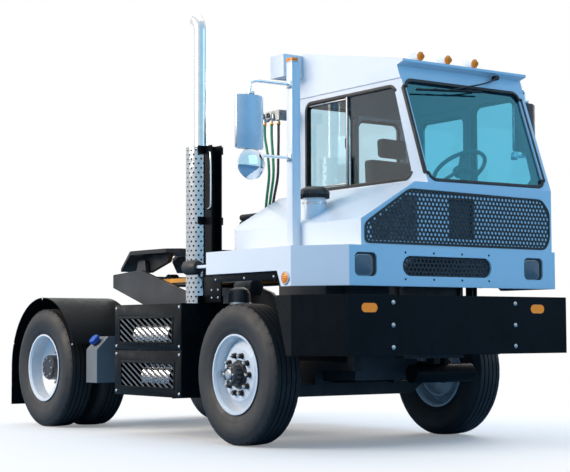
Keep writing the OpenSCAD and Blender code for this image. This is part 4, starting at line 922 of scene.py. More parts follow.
# The finish of each part of the frame, apart from rims and tyres
NODE_LOOKS = {
    "white": ("cab_front", "cab_right_wall", "cab_left_wall", "cab_rear_wall", "cab_roof", "engine_cover",
              "apron", "left_door", "rear_door", "air_intake", "mirror_arms"),
    "black": ("front_bumper", "exhaust_case", "stack_support", "rear_fenders", "fuel_tank", "entry_steps",
              "air_tank", "lift_barrels", "grilles"),
    "frame": ("frame_rails", "crossmembers", "radiator"),
    "cast": ("front_axle", "rear_axle", "knuckle_left", "knuckle_right", "fifth_wheel"),
    "boom": ("lift_boom",),
    "engine": ("engine",),
    "trim": ("cab_floor", "dashboard", "seat"),
    "tank": ("def_tank",),
    "chrome": ("exhaust_stack", "stack_guard", "lift_rods"),
    "mirror body": ("mirror_heads",),
    "glass": ("windows", "left_door_glass", "rear_door_glass"),
    "amber": ("cab_lamps",),
    "chassis lens": ("chassis_lamps",),
    "rubber": ("headlamps",),
    "deck": ("rear_deck",),
    "zinc": ("air_lines",),
    "green hose": ("supply_hose", "signal_hose"),
    "black hose": ("lamp_cable",),
}


class TRUCK_OT_finishes(bpy.types.Operator):
    """Builds the finishes and gives one to every part of the frame"""
    bl_idname = "truck.finishes"
    bl_label = "Finishes"

    def execute(self, context):
        make_groups()
        make_looks()
        for look, names in NODE_LOOKS.items():
            for name in names:
                coated(NODES[name], LOOKS[look])
        windows = NODES["windows"].data
        windows.materials.append(LOOKS["screen"])
        belt = Vector((CAB_FACE, 0, BELT_Z))
        for face in windows.polygons:
            face.material_index = int((face.center - belt).dot(AHEAD_OF_SCREEN) > -SCREEN_DEPTH)
        for side in ("left", "right"):
            coated(NODES["front_rim_" + side], rim_paint("front rim " + side, FRONT, FRONT_HUB_R))
            coated(NODES["rear_rims_" + side], rim_paint("rear rims " + side, REAR, REAR_HUB_R))
            coated(NODES["front_tyre_" + side], LOOKS["rubber"])
            coated(NODES["rear_tyres_" + side], LOOKS["rubber"])
        return {"FINISHED"}


# Tyres

TREAD_RIBS = 5
BEAD_HALF, SHOULDER_DROP, EDGE_DROP, CROWN_DROP = 0.100, 0.016, 0.007, 0.004
RING_STEPS, RING_H = (4, 5, 16), 0.0022
NOTCH_EVERY, NOTCH_D = 4, 0.004


def tyre_section(bead):
    """Closed outline of (radius, offset): sidewall, grooved tread, sidewall."""
    half, shoulder, crown = TYRE_W / 2, TYRE_W * 0.385, TYRE_W * 0.35
    steps, bulge = 20, 0.62
    side = []
    for step in range(steps + 1):
        share = step / steps
        if share < bulge:
            width = BEAD_HALF + (half - BEAD_HALF) * math.sin(math.pi / 2 * share / bulge)
        else:
            width = half - (half - shoulder) * ((share - bulge) / (1 - bulge)) ** 2
        if step in RING_STEPS:
            width += RING_H
        side.append((bead + (TYRE_R - SHOULDER_DROP - bead) * share, width))
    tread = [(TYRE_R - EDGE_DROP, crown + 0.004)]
    groove, depth = sizes().groove_w, sizes().groove_d
    rib = (2 * crown - (TREAD_RIBS - 1) * groove) / TREAD_RIBS
    for index in range(TREAD_RIBS):
        start = crown - index * (rib + groove)
        for place in (start, start - rib):
            tread.append((TYRE_R - CROWN_DROP * (place / crown) ** 2, place))
        if index < TREAD_RIBS - 1:
            tread.append((TYRE_R - depth, start - rib - groove * 0.2))
            tread.append((TYRE_R - depth, start - rib - groove * 0.8))
    tread.append((TYRE_R - EDGE_DROP, -crown - 0.004))
    return side + tread + [(radius, -width) for radius, width in reversed(side)]


def tyre_mesh():
    """One tyre round the Y axis at the origin, with notched shoulders."""
    outline = tyre_section(BEAD_R)
    steps = sizes().spin_steps
    tyre = outlined([(0, offset, radius) for radius, offset in outline], name="tyre")
    with editing(tyre, "EDGE"):
        bpy.ops.mesh.select_all(action="SELECT")
        bpy.ops.mesh.spin(steps=steps, angle=2 * math.pi, center=(0, 0, 0), axis=(0, 1, 0))
    cleaned(tyre)
    pitch = 2 * math.pi / steps

    def on_shoulder(face):
        """True on each fourth face round the tread's outer edge."""
        spot = face.calc_center_median()
        turn = int((math.atan2(spot.x, spot.z) + math.pi) / pitch + 0.01)
        drop = TYRE_R - math.hypot(spot.x, spot.z)
        return turn % NOTCH_EVERY == 0 and 0.003 < drop < 0.015 and abs(spot.y) > TYRE_W * 0.345

    with editing(tyre):
        pick(tyre, "faces", on_shoulder)
        bpy.ops.mesh.extrude_region_shrink_fatten(TRANSFORM_OT_shrink_fatten={"value": -NOTCH_D})
    return tyre


class TRUCK_OT_tyres(bpy.types.Operator):
    """Grooved tyres in place of the plain ones"""
    bl_idname = "truck.tyres"
    bl_label = "Tyres"

    def execute(self, context):
        master = tyre_mesh()
        for side, sign in (("left", 1), ("right", -1)):
            centre = Vector((FRONT.x, sign * FRONT.y, FRONT.z))
            front = joined("tyre_front_" + side, [copied(master, Matrix.Translation(centre))])
            coated(front, rubber_of("front tyre " + side, centre))
            finished(front, "front_%s_wheel" % side, 30)
            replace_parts(front, "front_tyre_" + side)
            low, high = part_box("rear_tyres_" + side)
            pair = [copied(master, Matrix.Translation((REAR.x, y, REAR.z)))
                    for y in (low.y + TYRE_W / 2, high.y - TYRE_W / 2)]
            rear = joined("tyres_rear_" + side, pair)
            coated(rear, rubber_of("rear tyres " + side, REAR))
            finished(rear, "rear_%s_wheels" % side, 30)
            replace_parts(rear, "rear_tyres_" + side)
        removed(master)
        return {"FINISHED"}


# Wheel nuts and hub fittings

# Discs' faces, out from a front tyre's middle and in from the outer rear tyre's, and the rear hubs' ends
FRONT_DISC_OUT, REAR_DISC_IN, REAR_HUB_OUT = 0.078, 0.062, 0.1715 + 0.075
# Radius of the circle and number of the small bolts on a front and on a rear hub
FRONT_CAP_BOLTS, REAR_CAP_BOLTS = (0.055, 6), (0.080, 8)


def nut_mesh():
    """One flanged wheel nut with its stud, along +Z from the wheel's face."""
    washer = rod((0, 0, 0), (0, 0, 0.007), 0.0225, 20, 0.0015)
    hexagon = rod((0, 0, 0.007), (0, 0, 0.030), 0.0190, 6, 0.0018)
    stud = rod((0, 0, 0.028), (0, 0, 0.048), 0.0105, 12, 0.002)
    coated(washer, LOOKS["nut"])
    coated(hexagon, LOOKS["nut"])
    coated(stud, LOOKS["zinc"])
    return joined("nut", [washer, hexagon, stud])


def round_the_hub(master, centre, outward, radius, count):
    """Copies of master in a circle, pointing outward along Y."""
    places = []
    for index in range(count):
        angle = 2 * math.pi * index / count
        spot = Vector(centre) + Vector((radius * math.cos(angle), 0, radius * math.sin(angle)))
        places.append(copied(master, Matrix.Translation(spot) @ aimed((0, outward, 0))))
    return places


class TRUCK_OT_wheel_nuts(bpy.types.Operator):
    """Wheel nuts, hub bolts and oil caps"""
    bl_idname = "truck.wheel_nuts"
    bl_label = "Wheel nuts"

    def execute(self, context):
        nut = nut_mesh()
        bolt = coated(rod((0, 0, 0), (0, 0, 0.010), 0.009, 6, 0.001), LOOKS["zinc"])
        circle = sizes().nut_circle, sizes().nuts
        pair_low, pair_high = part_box("rear_tyres_left")
        front_face = FRONT.y + FRONT_DISC_OUT
        rear_face = REAR.y + (pair_high.y - pair_low.y - TYRE_W) / 2 - REAR_DISC_IN
        rear_end = REAR.y + REAR_HUB_OUT
        for side, sign in (("left", 1), ("right", -1)):
            pieces = round_the_hub(nut, (FRONT.x, sign * front_face, FRONT.z), sign, *circle)
            low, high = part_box("front_rim_" + side)
            end = high.y if sign > 0 else low.y
            pieces += round_the_hub(bolt, (FRONT.x, end - sign * 0.0005, FRONT.z), sign, *FRONT_CAP_BOLTS)
            cap = turned([(0, 0), (0.040, 0), (0.040, 0.008), (0.030, 0.016), (0, 0.018)], 32)
            coated(cap, LOOKS["bright"])
            pieces.append(moved(cap, Matrix.Translation((FRONT.x, end, FRONT.z)) @ aimed((0, sign, 0))))
            finished(joined("nuts_front_" + side, pieces), "front_%s_wheel" % side, 30)
            pieces = round_the_hub(nut, (REAR.x, sign * rear_face, REAR.z), sign, *circle)
            pieces += round_the_hub(bolt, (REAR.x, sign * rear_end, REAR.z), sign, *REAR_CAP_BOLTS)
            finished(joined("nuts_rear_" + side, pieces), "rear_%s_wheels" % side, 30)
        removed(nut)
        removed(bolt)
        return {"FINISHED"}


# Window seals

SEAL_H = 0.021


def pane_seals(node, body, outward):
    """Rubber seals round each pane of a node, from the outline of its faces that look outward."""
    work = copied(NODES[node], Matrix.Identity(4))
    work.parent = None
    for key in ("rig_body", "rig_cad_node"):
        if key in work:
            del work[key]
    work.hide_render = False
    with editing(work):
        bpy.ops.mesh.select_all(action="SELECT")
        bpy.ops.mesh.remove_doubles(threshold=1e-5)
        pick(work, "faces", lambda face: max(face.normal.dot(Vector(n)) for n in outward) < 0.98)
        bpy.ops.mesh.delete(type="FACE")
        bpy.ops.mesh.select_all(action="SELECT")
        bpy.ops.mesh.dissolve_limited(angle_limit=math.radians(2))
        bpy.ops.mesh.select_all(action="SELECT")
        bpy.ops.mesh.inset(thickness=sizes().seal_w, depth=0.0)
        bpy.ops.mesh.delete(type="FACE")
        bpy.ops.mesh.select_all(action="SELECT")
        bpy.ops.mesh.extrude_region_shrink_fatten(TRANSFORM_OT_shrink_fatten={"value": SEAL_H})
    softened(work, 0.004, 2, 40)
    coated(work, LOOKS["rubber"])
    return finished(joined(node + "_seals", [work]), body, 40)


class TRUCK_OT_seals(bpy.types.Operator):
    """Rubber seals round the windows"""
    bl_idname = "truck.seals"
    bl_label = "Window seals"

    def execute(self, context):
        pane_seals("windows", "cab", ((0, -1, 0), (0, 1, 0), (1, 0, 0), AHEAD_OF_SCREEN))
        pane_seals("left_door_glass", "left_door", ((0, 1, 0),))
        pane_seals("rear_door_glass", "rear_door", ((-1, 0, 0),))
        return {"FINISHED"}


# Hoses behind the cab

CLIP_LOW, CLIP_HIGH = (0.546, -0.408, 1.782), (0.622, -0.322, 1.800)
GLAD_HANDS_X, GLAD_HANDS_Y, GLAD_HANDS_Z = (0.566, 0.640), HOSES["signal_hose"][0] - 0.012, 2.562
# Nuts on the hoses: which end of the route, low z, high z and radius
HOSE_NUTS = ((0, 2.486, 2.512, 0.017), (-1, 1.618, 1.645, 0.0165))


def hose_curve(name, y, route):
    """One hose as a round curve through its route."""
    line = bpy.data.curves.new(name + "_line", "CURVE")
    line.dimensions = "3D"
    line.bevel_depth = sizes().hose_d / 2
    line.bevel_resolution = 4
    line.use_fill_caps = True
    spline = line.splines.new("BEZIER")
    spline.bezier_points.add(len(route) - 1)
    for knot, (x, z) in zip(spline.bezier_points, route):
        knot.co = (x, y, z)
        knot.handle_left_type = "AUTO"
        knot.handle_right_type = "AUTO"
    obj = bpy.data.objects.new(name + "_line", line)
    bpy.context.scene.collection.objects.link(obj)
    return obj


def glad_hand():
    """A brake coupling's round head with its seal and ear, facing +Z."""
    head = coated(turned([(0, 0), (0.036, 0), (0.036, 0.020), (0.030, 0.026), (0, 0.026)], 28), LOOKS["zinc"])
    seal = turned([(0.010, 0.024), (0.021, 0.024), (0.021, 0.032), (0.010, 0.032)], 24)
    coated(seal, LOOKS["rubber"])
    ear = coated(bar((0.012, -0.040, 0.002), (0.044, 0.010, 0.016), 0.004), LOOKS["zinc"])
    return joined("glad_hand", [head, seal, ear])


class TRUCK_OT_hoses(bpy.types.Operator):
    """Hanging air hoses and lamp cable, with their couplings and clips"""
    bl_idname = "truck.hoses"
    bl_label = "Hoses"

    def execute(self, context):
        clip = coated(bar(CLIP_LOW, CLIP_HIGH, 0.006, "hose_clip"), LOOKS["rubber"])
        finished(clip, "cab")
        for name, (y, route) in HOSES.items():
            look = LOOKS["black hose" if name == "lamp_cable" else "green hose"]
            hose = coated(hose_curve(name, y, route), look)
            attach(hose, "cab")
            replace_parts(hose, name)
        master = glad_hand()
        hands = set_on(master, [(x, GLAD_HANDS_Y, GLAD_HANDS_Z) for x in GLAD_HANDS_X], (0, -1, 0))
        removed(master)
        nuts = []
        for end, low, high, radius in HOSE_NUTS:
            for y, route in HOSES.values():
                x = route[end][0]
                nuts.append(coated(rod((x, y, low), (x, y, high), radius, 6, 0.0015), LOOKS["brass"]))
        finished(joined("hose_fittings", hands + nuts), "cab")
        return {"FINISHED"}


# Grille

def front_facing(x):
    """Turns a flat sheet's X and Y into the truck's Y and Z, at x."""
    return Matrix(((0, 0, 1, x), (1, 0, 0, 0), (0, 1, 0, 0), (0, 0, 0, 1)))


def grille_sheet(outline, x, rim):
    """A perforated sheet cut to an outline of (y, z), with a plain rim."""
    low = Vector((min(y for y, _ in outline), min(z for _, z in outline)))
    high = Vector((max(y for y, _ in outline), max(z for _, z in outline)))
    sheet = perforated(sizes().grille_pitch, sizes().grille_hole, high - low)
    moved(sheet, front_facing(x) @ Matrix.Translation((*low, 0)))
    planes = []
    for (y, z), (next_y, next_z) in zip(outline, outline[1:] + outline[:1]):
        outward = Vector((0, next_z - z, y - next_y)).normalized()
        planes.append((Vector((x, y, z)) - outward * rim * 0.8, outward))
    trimmed(sheet, planes)
    applied(sheet, "SOLIDIFY", thickness=0.003, offset=0.0)
    edge = border([(x - 0.003, y, z) for y, z in outline], rim, (0.006, 0, 0))
    return [sheet, edge]


class TRUCK_OT_grille(bpy.types.Operator):
    """Finely perforated grille sheets"""
    bl_idname = "truck.grille"
    bl_label = "Grille"

    def execute(self, context):
        low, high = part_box("grilles")
        slot = [(SLOT_Y + y, SLOT_Z + z) for y, z in rounded(SLOT_W, SLOT_H, SLOT_H / 2 - 0.001)]
        pieces = grille_sheet(curved(GRILLE, 0.040), low.x + 0.003, 0.016)
        pieces += grille_sheet(slot, high.x - 0.003, 0.010)
        for piece in pieces:
            coated(piece, LOOKS["rubber"])
        grille = finished(joined("grille_sheets", pieces), "cab", 30)
        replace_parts(grille, "grilles")
        return {"FINISHED"}


# Exhaust case and stack guard

CASE_IN = -0.640
CASE_SPLIT, SPLIT_HALF = 0.690, 0.002
SHEET_T, LIP_W, LIP_H = 0.006, 0.018, 0.004
# Brackets to the frame: z of their undersides and tops, and their two edges in from the case's ends
BRACKET_Z, BRACKET_X = (0.90, 0.97), (0.06, 0.16)
# Windows of the upper and of the lower panel, as x in from the case's back and z
CASE_WINDOWS = ((0.085, 0.758), (0.110, 0.400))
MESH_W, MESH_H, MESH_PITCH, MESH_SLANT = 0.820, 0.186, 0.091, math.radians(28)
MESH_BAR_L, MESH_BAR_T, MESH_BAR_H = 0.42, 0.004, 0.013
# Mufflers behind the windows: back end, depth behind the side, z, radius and length
MUFFLERS = ((-0.385, 0.137, 0.800, 0.125, 0.70), (-0.250, 0.118, 0.475, 0.100, 0.56))
MUFFLER_RIB, MUFFLER_RIB_D = 0.018, 0.005


def in_side(x0, x1, z0, z1, y):
    """Corners of a rectangle in the side's plane at y."""
    return [(x0, y, z0), (x1, y, z0), (x1, y, z1), (x0, y, z1)]


def slanted_mesh(x, z, y):
    """Thin slanted bars across a window with its low corner at (x, z)."""
    half = Vector((MESH_BAR_L, MESH_BAR_T, MESH_BAR_H)) / 2
    run_out = 0.18
    strip = bar(-half, half)
    moved(strip, Matrix.Translation((x - run_out, y, z + MESH_H / 2)) @ Matrix.Rotation(MESH_SLANT, 4, "Y"))
    applied(strip, "ARRAY", count=math.ceil((MESH_W + 2 * run_out) / MESH_PITCH), use_relative_offset=False,
            use_constant_offset=True, constant_offset_displace=(MESH_PITCH, 0, 0))
    planes = (((x, y, z), (-1, 0, 0)), ((x + MESH_W, y, z), (1, 0, 0)), ((x, y, z), (0, 0, -1)),
              ((x, y, z + MESH_H), (0, 0, 1)))
    return trimmed(strip, planes, True)


def muffler(radius, length):
    """A ribbed drum with a domed end, along +Z from the dome."""
    ribs = [(radius - MUFFLER_RIB_D * (step % 2), radius * 0.7 + MUFFLER_RIB * step)
            for step in range(int((length - radius) / MUFFLER_RIB))]
    dome = [(0, 0), (radius * 0.5, 0.008), (radius * 0.85, radius * 0.3)]
    return turned([*dome, *ribs, (0, ribs[-1][1])], 40)


class TRUCK_OT_case(bpy.types.Operator):
    """Sheet metal exhaust case with slanted mesh windows and the mufflers behind them"""
    bl_idname = "truck.case"
    bl_label = "Exhaust case"

    def execute(self, context):
        low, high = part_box("exhaust_case")
        y, inside = low.y, low.y + SHEET_T
        near, far = BRACKET_X
        pieces = [
            bar((low.x, inside, high.z - SHEET_T), (high.x, CASE_IN, high.z), 0.002),
            bar((low.x, inside, low.z), (high.x, CASE_IN, low.z + SHEET_T), 0.002),
            bar((low.x, CASE_IN - SHEET_T, low.z), (high.x, CASE_IN, high.z), 0.002),
            bar((low.x, inside, low.z), (low.x + SHEET_T, CASE_IN, high.z), 0.002),
            bar((high.x - SHEET_T, inside, low.z), (high.x, CASE_IN, high.z), 0.002),
            bar((low.x + near, CASE_IN, BRACKET_Z[0]), (low.x + far, high.y, BRACKET_Z[1]), 0.003),
            bar((high.x - far, CASE_IN, BRACKET_Z[0]), (high.x - near, high.y, BRACKET_Z[1]), 0.003),
        ]
        bolt = bolt_mesh(0.013, 0.008, LOOKS["bright"])
        bolts, mesh = [], []
        panels = ((CASE_SPLIT + SPLIT_HALF, high.z), (low.z, CASE_SPLIT - SPLIT_HALF))
        for (foot, top), (inset, sill) in zip(panels, CASE_WINDOWS):
            start, end, head = low.x + inset, low.x + inset + MESH_W, sill + MESH_H
            window = in_side(start, end, sill, head, y)
            lip = in_side(start - LIP_W, end + LIP_W, sill - LIP_W, head + LIP_W, y)
            pieces.append(ring_plate(in_side(low.x, high.x, foot, top, y), window, (0, SHEET_T, 0), 0.0015))
            pieces.append(ring_plate(lip, window, (0, -LIP_H, 0), 0.0015))
            # The slanted bars wear a grey that is a painted highlight.
            mesh.append(coated(slanted_mesh(start, sill, y + LIP_H), LOOKS["mesh"]))
            bolts += set_on(bolt, [(x, y, z) for x in (low.x + 0.028, high.x - 0.028)
                                   for z in (foot + 0.030, top - 0.030)], (0, -1, 0))
        removed(bolt)
        for x, depth, z, radius, length in MUFFLERS:
            drum = moved(muffler(radius, length), Matrix.Translation((x, y + depth, z)) @ aimed((1, 0, 0)))
            mesh.append(coated(drum, LOOKS["bright"]))
        for piece in pieces:
            coated(piece, LOOKS["black"])
        case = finished(joined("case_panels", pieces + mesh + bolts), "chassis", 30)
        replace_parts(case, "exhaust_case")
        return {"FINISHED"}


# Bent handle beside the stack, from its upper to its lower eye
HANDLE = ((0.500, -0.879, 2.250), (0.535, -0.893, 2.250), (0.548, -0.893, 2.235), (0.548, -0.893, 1.830),
          (0.540, -0.893, 1.802), (0.500, -0.893, 1.800), (0.470, -0.879, 1.800))


class TRUCK_OT_guard(bpy.types.Operator):
    """Perforated sheet bent round the exhaust stack, over a dark tube inside it that is painted shade"""
    bl_idname = "truck.guard"
    bl_label = "Stack guard"

    def execute(self, context):
        low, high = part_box("stack_guard")
        radius = (high.y - low.y) / 2
        cx, cy = low.x + radius, (low.y + high.y) / 2
        wide, tall, rim = 2 * math.pi * radius, high.z - low.z, 0.014

        def wrapped(along, up):
            """A point of the flat sheet, bent round the stack."""
            angle = along / radius
            return cx + radius * math.cos(angle), cy - radius * math.sin(angle), low.z + up

        sheet = perforated(sizes().guard_pitch, sizes().guard_hole, (wide, tall), 6)
        trimmed(sheet, (((rim, 0, 0), (-1, 0, 0)), ((wide - rim, 0, 0), (1, 0, 0)),
                        ((0, rim, 0), (0, -1, 0)), ((0, tall - rim, 0), (0, 1, 0))))
        pieces = [sheet]
        across, upright = (wide, rim), (rim, tall)
        bands = (((wide / 2, rim / 2), across, 48), ((wide / 2, tall - rim / 2), across, 48),
                 ((rim / 2, tall / 2), upright, 1), ((wide - rim / 2, tall / 2), upright, 1))
        for centre, size, steps in bands:
            band = added("band", bpy.ops.mesh.primitive_grid_add, x_subdivisions=steps, y_subdivisions=1,
                         size=1)
            pieces.append(moved(band, Matrix.Translation((*centre, 0)) @ Matrix.Diagonal((*size, 1, 1))))
        guard = joined("guard_sheet", pieces)
        placed(guard, [wrapped(v.co.x, v.co.y) for v in guard.data.vertices])
        applied(guard, "SOLIDIFY", thickness=0.002, offset=0.0)
        coated(guard, LOOKS["guard"])
        # A dark tube inside the guard is painted shade: it darkens the holes where the stack would show
        # through.
        outer, inner, top = radius - 0.010, radius - 0.010 - 0.004, high.z - 0.02
        shade_sleeve = turned([(outer, low.z), (outer, top), (inner, top), (inner, low.z)], 40)
        coated(moved(shade_sleeve, Matrix.Translation((cx, cy, 0))), LOOKS["rubber"])
        guard = finished(joined("guard_sheets", [guard, shade_sleeve]), "chassis", 40)
        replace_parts(guard, "stack_guard")
        return {"FINISHED"}


class TRUCK_OT_handle(bpy.types.Operator):
    """Bent handle on the stack's post"""
    bl_idname = "truck.handle"
    bl_label = "Post handle"

    def execute(self, context):
        handle = tube(HANDLE, 0.006, name="post_handle")
        finished(coated(handle, LOOKS["chrome"]), "chassis", 40)
        return {"FINISHED"}


# Mirrors

MIRROR_W, MIRROR_H, MIRROR_T = 0.226, 0.390, 0.050
MIRRORS = ((1.540, -1.215, 2.142), (1.859, 1.215, 2.252))
ROUND_MIRROR = Vector((1.587, -1.215, 2.035))
POST_TOP, POST_HALF = Vector((1.5625, -0.8295, 2.806)), 0.0375
ARM_R, ARM_TOP, ARM_FOOT = 0.0115, 2.640, 2.100
# Each mirror's arms: side, where they are rooted, how much higher they sit and where the lower one ends
MIRROR_ARMS = ((-1, -0.862, 0, -0.06), (1, CAB_LEFT, 0.110, 0.03))


def mirror_pieces(x, y, z, look):
    """Faceted shell, glass, rubber rim, edge strips and clamps of one long mirror, from its low back edge."""
    half, middle = MIRROR_W / 2, z + MIRROR_H / 2
    edge = rounded(MIRROR_W, MIRROR_H, 0.022)
    pane = rounded(MIRROR_W - 0.022, MIRROR_H - 0.022, 0.016)
    waist, front, flat = x + 0.024, x + MIRROR_T + 0.010, 0.050
    shell = plate([(x, y - half, z), (waist, y - half, z), (front, y - flat, z), (front, y + flat, z),
                   (waist, y + half, z), (x, y + half, z)], (0, 0, MIRROR_H), 0.007)
    glass = plate(facing_x(pane, x - 0.001, y, middle), (-0.003, 0, 0))
    rim = ring_plate(facing_x(edge, x, y, middle), facing_x(pane, x, y, middle), (-0.006, 0, 0), 0.002)
    pieces = [coated(shell, look), coated(glass, LOOKS["mirror"]), coated(rim, LOOKS["rubber"])]
    for side in (-1, 1):
        out = y + side * half
        strip = bar((x - 0.002, out - 0.004, z + 0.01), (x + 0.022, out + 0.004, z + MIRROR_H - 0.01), 0.002)
        pieces.append(coated(strip, LOOKS["bright"]))
    for level in (z - 0.026, z + MIRROR_H):
        clamp = bar((x + 0.002, y - 0.024, level), (x + MIRROR_T - 0.002, y + 0.024, level + 0.026), 0.005)
        pieces.append(coated(clamp, LOOKS["zinc"]))
    return pieces


class TRUCK_OT_mirrors(bpy.types.Operator):
    """Mirror shells, glasses, strips and the round mirror's bowl"""
    bl_idname = "truck.mirrors"
    bl_label = "Mirrors"

    def execute(self, context):
        right, left = MIRRORS
        pieces = mirror_pieces(*right, LOOKS["mirror body"]) + mirror_pieces(*left, LOOKS["trim black"])
        bowl = turned([(0, 0.036), (0.044, 0.033), (0.086, 0.020), (0.115, -0.002), (0.115, -0.012),
                       (0.098, -0.044), (0, -0.046)], 48)
        moved(bowl, Matrix.Translation(ROUND_MIRROR) @ aimed((1, 0, 0)))
        pane = turned([(0, 0), (0.094, 0), (0.094, 0.002), (0.060, 0.008), (0, 0.012)], 48)
        moved(pane, Matrix.Translation(ROUND_MIRROR - Vector((0.047, 0, 0))) @ aimed((-1, 0, 0)))
        pieces += [coated(bowl, LOOKS["mirror"]), coated(pane, LOOKS["mirror"])]
        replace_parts(finished(joined("mirror_shells", pieces), "cab", 40), "mirror_heads")
        return {"FINISHED"}


class TRUCK_OT_mirror_arms(bpy.types.Operator):
    """Post and bent arms that carry the mirrors"""
    bl_idname = "truck.mirror_arms"
    bl_label = "Mirror arms"

    def execute(self, context):
        half, clamp = Vector((POST_HALF, POST_HALF, 0)), Vector((0.022, 0.02, 0.03))
        post_foot = Vector((POST_TOP.x, POST_TOP.y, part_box("mirror_arms")[0].z))
        post = coated(bar(post_foot - half, POST_TOP + half, 0.006), LOOKS["white"])
        stays = []
        for (x, y, _), (side, root, rise, end) in zip(MIRRORS, MIRROR_ARMS):
            x += MIRROR_T / 2
            middle, top, foot = (root + y) / 2, ARM_TOP + rise, ARM_FOOT + rise
            stays.append(tube([(x, root, top), (x, middle, top), (x, y - side * 0.07, top), (x, y, top),
                               (x, y, top - 0.07), (x, y, foot)], ARM_R, 16))
            stays.append(tube([(x, root, foot), (x, middle, foot), (x, y - side * 0.03, foot),
                               (x, y, foot + end / 4), (x, y, foot + end)], ARM_R, 16))
            for level in (top, foot):
                centre = Vector((x, root, level))
                stays.append(bar(centre - clamp, centre + clamp, 0.006))
        for stay in stays:
            coated(stay, LOOKS["chrome"])
        pieces = [post, *stays]
        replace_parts(finished(joined("mirror_stays", pieces), "cab", 40), "mirror_arms")
        return {"FINISHED"}


# Lamps, bolts and the wiper

ID_LAMPS_Y = (0.012, 0.285, 0.556)
ROOF_PITCH = math.radians(10.19)
LAMP_FOOT, LAMP_SCALE = Vector((1.999, 0, 2.842)), 1.25
SIDE_LAMP = Vector((1.930, -1.170, 1.208))
APRON_X = 2.329
# Headlamps as (y, z), and their outlines as width, height and corner
HEADLAMPS, HEADLAMP_SUNK = ((-0.793, 1.292), (0.821, 1.292)), 0.0115
LAMP_GLASS, LAMP_RIM, LAMP_HOLE = (0.148, 0.138, 0.036), (0.158, 0.148, 0.040), (0.146, 0.136, 0.035)
BUMPER_BOLTS_Y, BUMPER_BOLTS_Z = (-0.584, 0.584), (1.035, 0.878, 0.724)
APRON_SCREWS_Y, APRON_SCREWS_Z = (-0.40, -0.135, 0.135, 0.40), (-0.094, 0.094)


def bullet_lamp():
    """A white bullet housing on its foot with an amber lens, lying along +X."""
    shell = turned([(0, -0.094), (0.012, -0.092), (0.023, -0.060), (0.028, 0), (0.028, 0.006),
                    (0, 0.006)], 28)
    lens = turned([(0, 0.004), (0.0265, 0.004), (0.0265, 0.012), (0.017, 0.024), (0, 0.028)], 28)
    foot = bar((-0.026, -0.014, -0.085), (0, 0.014, -0.010), 0.004)
    lamp = joined("bullet", [coated(shell, LOOKS["mirror body"]), coated(lens, LOOKS["amber"]),
                             coated(foot, LOOKS["mirror body"])])
    return moved(lamp, Matrix(((0, 0, 1, 0), (0, -1, 0, 0), (1, 0, 0, 0.027), (0, 0, 0, 1))))


class TRUCK_OT_marker_lamps(bpy.types.Operator):
    """Bullet lamps on the roof, the flat lamp on the post and the round one on the apron's side"""
    bl_idname = "truck.marker_lamps"
    bl_label = "Marker lamps"

    def execute(self, context):
        master = bullet_lamp()
        turn = Matrix.Rotation(ROOF_PITCH, 4, "Y") @ Matrix.Scale(LAMP_SCALE, 4)
        lamps = [copied(master, Matrix.Translation(LAMP_FOOT + Vector((0, y, 0))) @ turn) for y in ID_LAMPS_Y]
        removed(master)
        flat = bar((-0.050, -0.036, 0.006), (0.038, 0.020, 0.034), 0.008)
        foot = bar((-0.036, -0.036, 0), (0.036, 0.036, 0.008), 0.002)
        for piece in (flat, foot):
            moved(piece, Matrix.Translation(POST_TOP))
        lens = turned([(0, 0), (0.040, 0), (0.040, 0.006), (0.026, 0.014), (0, 0.017)], 36)
        ring = turned([(0.039, 0), (0.049, 0), (0.049, 0.004), (0.043, 0.009), (0.039, 0.009)], 36)
        for piece in (lens, ring):
            moved(piece, Matrix.Translation(SIDE_LAMP) @ aimed((0, -1, 0)))
        lamps += [coated(flat, LOOKS["amber"]), coated(foot, LOOKS["mirror body"])]
        lamps += [coated(lens, LOOKS["amber"]), coated(ring, LOOKS["bright"])]
        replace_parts(finished(joined("marker_lamps", lamps), "cab"), "cab_lamps")
        return {"FINISHED"}


class TRUCK_OT_headlamps(bpy.types.Operator):
    """Glasses and metal rims on the headlamps"""
    bl_idname = "truck.headlamps"
    bl_label = "Headlamp glasses"

    def execute(self, context):
        back = APRON_X - HEADLAMP_SUNK
        glasses = []
        for y, z in HEADLAMPS:
            face, outer, inner = (facing_x(rounded(*outline), back, y, z)
                                  for outline in (LAMP_GLASS, LAMP_RIM, LAMP_HOLE))
            glass = plate(face, (0.009, 0, 0), 0.004)
            rim = ring_plate(outer, inner, (0.006, 0, 0), 0.002)
            glasses += [coated(glass, LOOKS["lamp glass"]), coated(rim, LOOKS["window metal"])]
        finished(joined("headlamp_glasses", glasses), "cab")
        return {"FINISHED"}


class TRUCK_OT_bolts(bpy.types.Operator):
    """Bright bolts on the bumper and small screws round the lower grille"""
    bl_idname = "truck.bolts"
    bl_label = "Front bolts"

    def execute(self, context):
        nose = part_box("front_bumper")[1].x
        bolt = bolt_mesh(0.017, 0.011, LOOKS["zinc"])
        bolts = set_on(bolt, [(nose, y, z) for y in BUMPER_BOLTS_Y for z in BUMPER_BOLTS_Z], (1, 0, 0))
        removed(bolt)
        finished(joined("bumper_bolts", bolts), "chassis")
        screw = bolt_mesh(0.008, 0.004, LOOKS["nut"])
        spots = [(APRON_X, SLOT_Y + y, SLOT_Z + z) for z in APRON_SCREWS_Z for y in APRON_SCREWS_Y]
        screws = set_on(screw, spots, (1, 0, 0))
        removed(screw)
        finished(joined("apron_screws", screws), "cab")
        return {"FINISHED"}


WIPER_PIVOT = Vector((2.036, 0.755, 2.780))
BLADE_LEFT, BLADE_RIGHT = Vector((2.052, 0.590, 2.655)), Vector((2.070, -0.080, 2.612))


